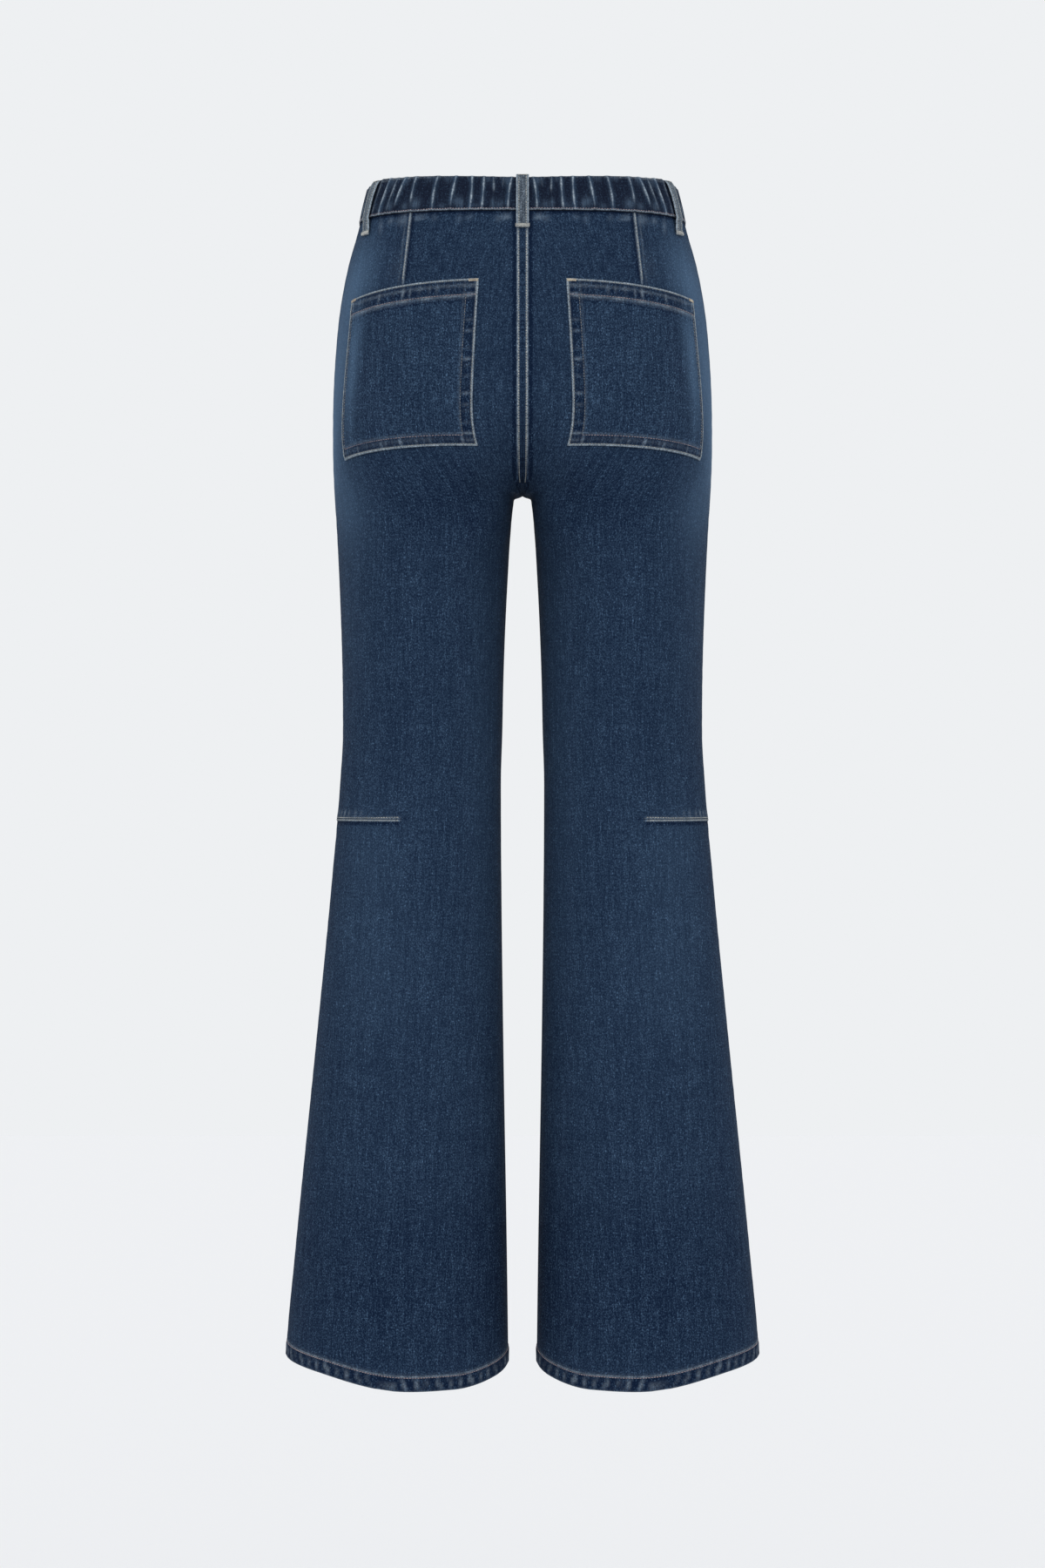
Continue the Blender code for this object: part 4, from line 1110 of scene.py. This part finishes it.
def finish_tube(name, points, at, drops, fade, worn, material):
    """A closed tube of cloth, whose two added end points carry zeros in its map and marks."""

    def pad(values):
        return np.concatenate([values.ravel(), [0.0, 0.0]])

    maps = {"cloth": np.stack([pad(at + 900), pad(drops + 30)], axis=-1)}
    marks = {"fade": pad(fade), "worn": np.clip(pad(worn), 0, 1)}
    return make_piece(name, *close_ends(points), [material], maps, marks)


half_back = float(ring_length(BACK, BAND_MIDDLE))
half_front = float(ring_length(FRONT, BAND_MIDDLE))


def place_back(at, drops, lifts):
    """Points of the back band, whose ends keep to the side seam at every drop."""
    share = 1 - np.abs(at) / half_back
    along = share * ring_length(BACK, drops)
    point = form_at(BACK, along, drops) + lifts[..., None] * outward(BACK, along, drops)
    point[..., 0] *= np.where(at < 0, -1, 1)
    return point


def place_front(at, drops, lifts):
    """Points of the front band, which dips towards the middle of the front."""
    share = 1 - np.abs(at) / half_front
    level = waist_level(FRONT, share, drops)
    along = share * ring_length(FRONT, level)
    point = form_at(FRONT, along, level) + lifts[..., None] * outward(FRONT, along, level)
    point[..., 0] = np.maximum(point[..., 0], 0) + 0.03
    return point


stations = spaced((-half_back + 0.05, half_back - 0.05, 0.45))
back_band = band(stations, band_section(1.9, -2.2, 0.6), place_back, gathered=True)
piece = finish_tube("elastic_waistband", *back_band, BAND_DENIM)
cut_piece(piece, "waistband_back")
stations = spaced((0.0, half_front - 0.05, 2.2))
points, *rest = band(stations, band_section(1.6, -1.6, 0.3), place_front, gathered=False)
for hand, turn in HANDS:
    piece = finish_tube(f"front_waistband_{hand}", points * turn, *rest, BAND_DENIM)
    cut_piece(piece, f"waistband_front_{hand}")


# ---------------------------------------------------------------- belt loops
# Folded strips 12 mm wide, bar-tacked over the band's top edge and below its seam. They are worn
# grey-blue, palest along both edges.

LOOP_WIDTH = 11.3
LOOPS = {  # side, face, distance from the centre at the top and at the foot
    "belt_loop_back": (LEFT, BACK, 0.0, 0.0),
    "belt_loop_side_left": (LEFT, BACK, 140.0, 154.0),
    "belt_loop_side_right": (RIGHT, BACK, 140.0, 154.0),
    "belt_loop_front_left": (LEFT, FRONT, 88.0, 90.0),
    "belt_loop_front_right": (RIGHT, FRONT, 88.0, 90.0),
}
LOOP_RUN = table(  # the lift is over the band down to its seam, then over the leg
    ("drop", "lift"),
    ((-0.2, 0.0), (1.5, 0.3), (5.0, 0.5), (10.0, 0.5), (16.0, 0.5), (22.0, 0.5), (28.0, 0.6), (33.5, 1.2),
     (37.5, 1.3), (42.0, 0.6), (48.0, 0.5)),
)
LOOP_THICK = 1.7
LOOP_BOW = 1.1  # how far a leaning loop bows outwards, as a share of its lean
LOOP_STATIONS = 60
LOOP_ACROSS = 26


def loop_under(name, drops):
    """How far the strip's underside lies out of the form at each drop.

    Over the band it clears the highest gather under its width, and below the seam it comes down to
    the leg, or onto the raised seat seam.
    """
    _, face, top, foot = LOOPS[name]
    under = smooth(drops, LOOP_RUN["drop"], LOOP_RUN["lift"])
    if face == BACK:
        over = top + np.linspace(-0.5, 0.5, 9) * LOOP_WIDTH
        at, drop = np.meshgrid(over, np.clip(np.ravel(drops), 0, BAND_DROP))
        at = at + (foot - top) * drop / LOOP_RUN["drop"][-1]
        high = 1.9 + 0.5 * gathered_face(at, drop).max(axis=1).reshape(np.shape(drops))
    else:
        high = 1.6
    under = under + high * (1 - ramp(drops, 31.5, 37)) - 0.5 * (1 - ramp(drops, -1, 4))
    return under + (FOLD_RISE * ramp(drops, 34, 39) if top == 0 else 0)


def loop_point(name, across, drops, height):
    """Points and normals of the strip: across in shares of its width from -0.5 to 0.5."""
    side, face, top, foot = LOOPS[name]
    share = np.clip(drops / LOOP_RUN["drop"][-1], 0, 1)
    centre = top + (foot - top) * share + LOOP_BOW * (foot - top) * share * (1 - share)
    at = centre + across * LOOP_WIDTH
    level = drops
    if face == FRONT:
        level = waist_level(FRONT, 1 - np.abs(at) / half_front, drops)
    return on_form(face, at, level, loop_under(name, drops) + height, side, meet=0.0)


def belt_loop(name):
    """A closed tube: a rounded strip's cross-section carried down over the band."""
    turn = np.linspace(0, 2 * math.pi, LOOP_ACROSS, endpoint=False)
    across = 0.5 * np.sign(np.cos(turn)) * np.abs(np.cos(turn)) ** 0.35
    high = 0.5 + 0.5 * np.sign(np.sin(turn)) * np.abs(np.sin(turn)) ** 0.6
    drops = np.linspace(LOOP_RUN["drop"][0], LOOP_RUN["drop"][-1], LOOP_STATIONS)
    a, d = np.meshgrid(across, drops)
    from_edge = (0.5 - np.abs(a)) * LOOP_WIDTH
    height = high * (LOOP_THICK - 0.24 * bell(from_edge, 2.4, 0.8) - 0.2 * bell(from_edge, 5.6, 1.2))
    points, _ = loop_point(name, a, d, height)
    worn = np.where(high > 0.3, 0.85 * bell(from_edge, 0.5, 1.0) + 0.30 * bell(from_edge, 4.6, 1.2), 0)
    # Painted shade along the two sunk rows of stitches and down the strip's middle groove.
    fade = -1.1 * bell(from_edge, 2.4, 0.7) - 0.3 * bell(from_edge, 5.6, 0.8)
    if LOOPS[name][1] == BACK and LOOPS[name][2] > 0:  # the side loops rub palest
        worn, fade = worn + 0.14, fade + 0.1
    piece = finish_tube(f"{name}_strip", points, a * LOOP_WIDTH, d, fade, worn, LOOP_DENIM)
    cut_piece(piece, name)


for loop_name in LOOPS:
    belt_loop(loop_name)


# ---------------------------------------------------------------- sewing
# Tan topstitching thread, two and a half millimetres to a stitch, a short raised grain that dips
# into the cloth at both ends. Bar tacks are packed rows of short cross stitches.

STITCH_PITCH = 2.5
STITCH_LENGTH = 2.0
THREAD = 0.40  # half the thread's width as it lies


def thread_finish(name, dull, bright):
    """Cotton thread between two colours, uneven along the line and with a fine grain."""
    yarn = Finish(name, roughness=0.8, specular=0.2)
    x, y, z = yarn.split(yarn.node("ShaderNodeTexCoord", {}, {}, output=3))
    uneven = yarn.noise(x + y, z, (0.006, 0.006), detail=2.0, roughness=0.6)
    fine = yarn.noise(x + y, z, (0.0011, 0.0011), detail=1.0, seed=5.0)
    tone = yarn.node("ShaderNodeClamp", {}, {0: (uneven - 0.5) * 2.0 + (fine - 0.5) * 1.6 + 0.5})
    yarn.colour(yarn.blend(tone, dull, bright))
    yarn.bump(fine, strength=0.4)
    return yarn.material


TAN_THREAD = thread_finish("tan_thread", paint(90, 86, 98), paint(158, 145, 147))
RUBBED_THREAD = thread_finish("rubbed_thread", paint(98, 108, 114), paint(172, 172, 166))
SUNK_THREAD = thread_finish("sunk_thread", paint(58, 70, 86), paint(134, 134, 132))
TACK_THREAD = thread_finish("tack_thread", paint(134, 122, 112), paint(200, 192, 174))
LOOP_TACK_THREAD = thread_finish("loop_tack_thread", paint(116, 120, 124), paint(188, 188, 182))
# A stitch's stations along it: how far along, how high over the cloth, and how full.
STITCH_STATIONS = np.array([(-1.0, -0.12, 0.45), (-0.5, 0.16, 1.0), (0.5, 0.16, 1.0), (1.0, -0.12, 0.45)])
STITCH_CORNERS = 5
sewing_random = np.random.default_rng(7)


def evenly(points, normals, pitch):
    """Middles, directions and normals of stitches laid end to end along a line of points."""
    steps = np.linalg.norm(np.diff(points, axis=0), axis=1)
    run = np.concatenate([[0], np.cumsum(steps)])
    count = max(int(run[-1] / pitch), 1)
    places = (np.arange(count) + 0.5) * run[-1] / count
    ahead, behind = np.minimum(places + pitch / 2, run[-1]), np.maximum(places - pitch / 2, 0)

    def along(at, values):
        return np.stack([np.interp(at, run, values[:, k]) for k in range(3)], axis=1)

    ways = unit(along(ahead, points) - along(behind, points))
    return along(places, points), ways, unit(along(places, normals))


def stitches(middles, ways, normals, length, width=THREAD, tall=0.30):
    """Points and faces of many stitches: a ring of corners carried through the four stations.

    The length is one for all of them, or one for each.
    """
    count = len(middles)
    across = unit(np.cross(normals, ways))
    normals = np.cross(ways, across)
    jitter = sewing_random.uniform(0.88, 1.08, (count, 1, 1, 1))
    turn = np.linspace(0, 2 * math.pi, STITCH_CORNERS, endpoint=False)
    along, high, full = (STITCH_STATIONS[:, k][None, :, None, None] for k in range(3))
    middle, way, up, side = (v[:, None, None, :] for v in (middles, ways, normals, across))
    turn = turn[None, None, :, None]
    ring = np.cos(turn) * side * width + np.sin(turn) * up * tall
    reach = np.broadcast_to(length, count)[:, None, None, None] / 2
    points = middle + way * along * reach * jitter + up * high + ring * full
    corners = len(STITCH_STATIONS) * STITCH_CORNERS
    quads = grid_faces(len(STITCH_STATIONS), STITCH_CORNERS, ring=True)
    sides = np.concatenate([quads[:, [0, 1, 2]], quads[:, [0, 2, 3]]])
    fan = np.array([(0, k + 1, k) for k in range(1, STITCH_CORNERS - 1)])
    last = fan[:, ::-1] + corners - STITCH_CORNERS
    one = np.concatenate([sides, fan, last])
    faces = (one[None] + (np.arange(count) * corners)[:, None, None]).reshape(-1, 3)
    return points.reshape(-1, 3), faces


def lay(name, placed, length, thread, slot, **size):
    """One piece for many stitches, from rows of their middles, directions and normals."""
    placed = [np.concatenate(part) for part in zip(*placed)]
    piece = make_piece(name, *stitches(*placed, length, **size), [thread], angle=80)
    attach(piece, BODY)


def sew(name, lines, thread=TAN_THREAD, pitch=STITCH_PITCH, length=STITCH_LENGTH, slot="denim", **size):
    """One piece for all the stitches of these lines, each a pair of points and normals."""
    lay(name, [evenly(*line, pitch) for line in lines], length, thread, slot, **size)


def both_sides(*lines):
    """Each line of points and normals, and its mirror image."""
    return [(points * turn, normals * turn) for points, normals in lines for turn in (1.0, FLIP)]


STEP = 1.5  # how closely a line of stitches follows the cloth


def hem_line(face, above):
    """Along the hem at a height above its edge, from the side seam to the inseam."""
    share = np.linspace(0, 1, 160)
    level = np.full_like(share, HEM_DROP - above)
    drop = hem_level(face, share, level)
    at = np.clip(distance(face, share, drop), 0.8, ring_length(face, drop) - 0.8)
    return on_form(face, ring_length(face, drop) - at, drop, FOLD_RISE - 0.40)


seat_drops = np.arange(50, 268, STEP)
seat_line = on_form(BACK, WELT_STITCH * welt_spread(seat_drops), seat_drops, FOLD_RISE - 0.12)
sew("seat_seam_stitching", both_sides(seat_line), RUBBED_THREAD, pitch=2.4, length=1.7, width=0.52)
sew("hem_stitching", both_sides(hem_line(BACK, HEM_FOLD), hem_line(FRONT, HEM_FOLD)))


def on_pocket(across, down, lift):
    """Points and normals at shares across and down the pocket, a little over its face."""
    return on_form(BACK, *pocket_point(across, down), pocket_lift(across, down)[0] + lift)


def pocket_line(edge, inset, skip):
    """Along one edge of the pocket at a distance in from it, leaving out its ends."""
    level = edge in ("top", "foot")
    length, depth = (POCKET_WIDE, POCKET_TALL) if level else (POCKET_TALL, POCKET_WIDE)
    along = skip[0] / length + np.linspace(0, 1, 110) * (1 - (skip[0] + skip[1]) / length)
    inwards = np.full_like(along, inset / depth if edge in ("top", "inner") else 1 - inset / depth)
    return on_pocket(along, inwards, 0.08) if level else on_pocket(inwards, along, 0.08)


# Rows of stitches on a pocket: their thread, and for each its edge, inset and the ends left out.
POCKET_ROWS = {
    "pocket_hem_stitching": (
        TAN_THREAD,
        ("top", POCKET_TOP_HEM, (1.5, 1.5)),
        ("foot", POCKET_FOOT_HEM, (11.0, 5.0)),
    ),
    "pocket_edge_stitching": (
        RUBBED_THREAD,
        ("top", POCKET_EDGE_STITCH, (8.0, 5.0)),
        ("foot", POCKET_EDGE_STITCH, (1.5, 1.5)),
        ("inner", POCKET_EDGE_STITCH, (2.0, 2.0)),
        ("outer", POCKET_EDGE_STITCH, (2.0, 2.0)),
    ),
    "pocket_inner_stitching": (
        SUNK_THREAD,
        ("inner", POCKET_INNER_HEM, (14.0, 9.0)),
        ("outer", POCKET_OUTER_HEM, (14.0, 9.0)),
    ),
}
for name, (thread, *rows) in POCKET_ROWS.items():
    sew(name, both_sides(*[pocket_line(*row) for row in rows]), thread, width=0.34)


def along_band(face, drop_in, lift, ends):
    """Along the band at a drop, from near the centre to near the side seam."""
    half = half_back if face == BACK else half_front
    at = np.arange(ends[0], half - ends[1], STEP)
    drops = np.full_like(at, drop_in)
    lifts = np.full_like(at, lift)
    if face == BACK:
        lifts = lifts + gathered_face(at, drops)
        points = place_back(at, drops, lifts)
        along = (1 - at / half_back) * ring_length(BACK, drops)
        return points, outward(BACK, along, drops)
    level = waist_level(FRONT, 1 - at / half_front, drops)
    along = (1 - at / half_front) * ring_length(FRONT, level)
    return place_front(at, drops, lifts), outward(FRONT, along, level)


BAND_LINE = 1.7
band_rows = [
    along_band(BACK, BAND_DROP - BAND_LINE, 1.75, (6.5, 1.0)),
    along_band(FRONT, BAND_DROP - BAND_LINE, 1.5, (1.0, 1.0)),
    along_band(FRONT, 2.2, 1.6, (1.0, 1.0)),
]
sew("waistband_stitching", both_sides(*band_rows), slot="waistband_denim")


def knee_line(above):
    """A row at this height over the knee dart's folded edge."""
    from_side = np.arange(0.6, KNEE_DART_LENGTH - 2, STEP)
    drop = np.full_like(from_side, KNEE_DART_DROP - above) - 0.4 * ramp(from_side, 70, 98) * (above - 1)
    lift = KNEE_DART_RISE * knee_fold(from_side) * bell(above, 0, 7.0) + 0.08
    return on_form(BACK, ring_length(BACK, drop) - from_side, drop, lift)


def dart_line():
    """The row just outside the waist dart's folded edge."""
    drop = np.arange(WAIST_DART["top"] + 0.5, WAIST_DART["foot"] - 2, STEP)
    return on_form(BACK, waist_dart_at(drop) + 0.7, drop, 1.02)


sew("dart_stitching", both_sides(knee_line(0.7), knee_line(2.7), dart_line()), RUBBED_THREAD)


def loop_lines(name):
    """The two rows along a belt loop."""
    drops = np.linspace(-0.6, LOOP_RUN["drop"][-1] - 3.5, 60)
    return [loop_point(name, np.full_like(drops, a), drops, LOOP_THICK - 0.1) for a in (-0.29, 0.29)]


loop_rows = [line for name in LOOPS for line in loop_lines(name)]
sew("belt_loop_stitching", loop_rows, RUBBED_THREAD, pitch=2.2, length=1.6, slot="loop_denim", width=0.5)


def sew_tacks(name, lines, depths, thread, slot):
    """Bar tacks along short lines: cross stitches packed side by side, as long as their tack is deep."""
    rows = [evenly(*line, 0.62) for line in lines]
    crossed = [(middles, unit(np.cross(ups, ways)), ups) for middles, ways, ups in rows]
    length = np.repeat(depths, [len(middles) for middles, _, _ in rows])
    lay(name, crossed, length, thread, slot, width=0.33, tall=0.42)


def loop_tack(name, drop, reach):
    """Across the head or the foot of a belt loop."""
    across = np.linspace(-reach, reach, 24)
    return loop_point(name, across, np.full_like(across, drop), LOOP_THICK - 0.05)


def pocket_tack(start, end):
    """Along the pocket's top edge, at one of its corners."""
    across = np.linspace(start, end, 14) / POCKET_WIDE
    return on_pocket(across, np.full_like(across, 1.7 / POCKET_TALL), 0.15)


LOOP_FOOT_TACK = LOOP_RUN["drop"][-1] - 1.9
ends = [loop_tack(name, *end) for name in LOOPS for end in ((0.3, 0.42), (LOOP_FOOT_TACK, 0.56))]
sew_tacks("belt_loop_tacks", ends, [0.9, 3.7] * len(LOOPS), LOOP_TACK_THREAD, "loop_denim")
corners = both_sides(pocket_tack(0.5, 9.5), pocket_tack(POCKET_WIDE - 9.0, POCKET_WIDE - 0.3))
sew_tacks("pocket_tacks", corners, [2.9] * len(corners), TACK_THREAD, "denim")


# ---------------------------------------------------------------- fly and button
# The left front laps over the right. Two rows of stitching run down from the band and curve in to
# the seam below the fly. One plain domed brass button on a shank closes the band.

FLY_WIDTH = 34.0
FLY_LENGTH = 165.0
FLY_CURVE = 45  # the height over which it curves in


def fly_line(width, length):
    """A J: straight down from the band, then a quarter ellipse in to the centre seam."""
    straight = np.arange(BAND_DROP + 8, length - FLY_CURVE, STEP)
    turn = np.linspace(0, math.pi / 2, 60)
    at = np.concatenate([np.full_like(straight, width), width * np.cos(turn)])
    drop = np.concatenate([straight, length - FLY_CURVE + FLY_CURVE * np.sin(turn)])
    keep = at > 1.0
    return on_form(FRONT, at[keep], drop[keep], 0.12)


sew("fly_stitching", [fly_line(FLY_WIDTH, FLY_LENGTH), fly_line(FLY_WIDTH - 5, FLY_LENGTH - 5)])
rise_drops = np.arange(BAND_DROP + 10, 268, STEP)
rise_line = on_form(FRONT, 2.5, rise_drops, FOLD_RISE * 0.5 - 0.1)
sew("front_rise_stitching", both_sides(rise_line))

BUTTON_FROM_CENTRE = 15.0
BUTTON_PROFILE = (
    (0.0, 3.55), (1.6, 3.6), (3.2, 3.55), (4.6, 3.35), (5.2, 3.1), (5.6, 3.15), (6.2, 3.6),
    (7.0, 3.75), (7.8, 3.5), (8.4, 2.9), (8.55, 2.2), (8.2, 1.6), (6.0, 1.3), (3.4, 1.2),
    (3.0, 0.9), (3.0, 0.0), (0.0, 0.0),
)
BUTTON_STEPS = 56


def brass_finish():
    """Aged brass: two tones in soft clouds, and a fine grain."""
    metal = Finish("button_brass", roughness=0.42, metallic=1.0)
    x, y, z = metal.split(metal.node("ShaderNodeTexCoord", {}, {}, output=3))
    cloud = metal.noise(x, z, (0.004, 0.004), detail=4.0, roughness=0.6)
    metal.colour(metal.blend(cloud.between(0.35, 0.7), paint(142, 122, 92), paint(98, 80, 58)))
    metal.bump(metal.noise(x, z, (0.0005, 0.0005), detail=2.0, seed=3.0), strength=0.15)
    return metal.material


def button():
    """A profile of radius and height turned round the shank's axis."""
    share = 1 - BUTTON_FROM_CENTRE / half_front
    level = waist_level(FRONT, share, BAND_MIDDLE)
    middle, normal = on_form(FRONT, BUTTON_FROM_CENTRE, level, 1.9)
    across = unit(np.cross((0, 0, 1.0), normal))
    up = np.cross(normal, across)
    radius, height = np.array(BUTTON_PROFILE).T
    turn = np.linspace(0, 2 * math.pi, BUTTON_STEPS, endpoint=False)[:, None]
    around = np.cos(turn) * across + np.sin(turn) * up
    ring = middle + radius[1:-1, None, None] * around + height[1:-1, None, None] * normal
    piece = make_piece("brass_button", *close_ends(ring), [brass_finish()], angle=35)
    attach(piece, BODY)
    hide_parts("waist_button")


button()


# ---------------------------------------------------------------- studio
# A pale, even room: soft light all round, one broad soft light over the camera, and a plain floor
# well below the hems.

ROOM = paint(238, 240, 242)
bpy.context.scene.view_settings.view_transform = "Standard"
world = bpy.data.worlds.new("room")
bpy.context.scene.world = world
world.use_nodes = True
world.node_tree.nodes["Background"].inputs[0].default_value = ROOM
world.node_tree.nodes["Background"].inputs[1].default_value = 1.0

lamp = bpy.data.lights.new("key_light", "SUN")
lamp.energy = 0.9
lamp.angle = math.radians(50)
key_light = bpy.data.objects.new("key_light", lamp)
key_light.rotation_euler = (math.radians(-58), 0, 0)
bpy.context.collection.objects.link(key_light)

floor_mesh = bpy.data.meshes.new("floor")
FLOOR_REACH = 9.0
FLOOR_LEVEL = -1.70
floor_mesh.from_pydata(
    [(x * FLOOR_REACH, y * FLOOR_REACH, FLOOR_LEVEL) for x, y in ((-1, -1), (1, -1), (1, 1), (-1, 1))],
    [],
    [(0, 1, 2, 3)],
)
floor_finish = Finish("floor_paint", roughness=0.95, specular=0.1)
floor_finish.colour(paint(238, 238, 239))
floor_mesh.materials.append(floor_finish.material)
floor = bpy.data.objects.new("floor", floor_mesh)
bpy.context.collection.objects.link(floor)

CAMERA_AWAY = 3.4
CAMERA_HEIGHT = -0.5372
VIEW_HEIGHT = 1.422
SENSOR = 36.0
lens = bpy.data.cameras.new("camera")
lens.sensor_fit = "VERTICAL"
lens.sensor_height = SENSOR
lens.lens = SENSOR * CAMERA_AWAY / VIEW_HEIGHT
camera = bpy.data.objects.new("camera", lens)
camera.location = (0, CAMERA_AWAY, CAMERA_HEIGHT)
camera.rotation_euler = (math.radians(90), 0, math.radians(180))
bpy.context.collection.objects.link(camera)
bpy.context.scene.camera = camera
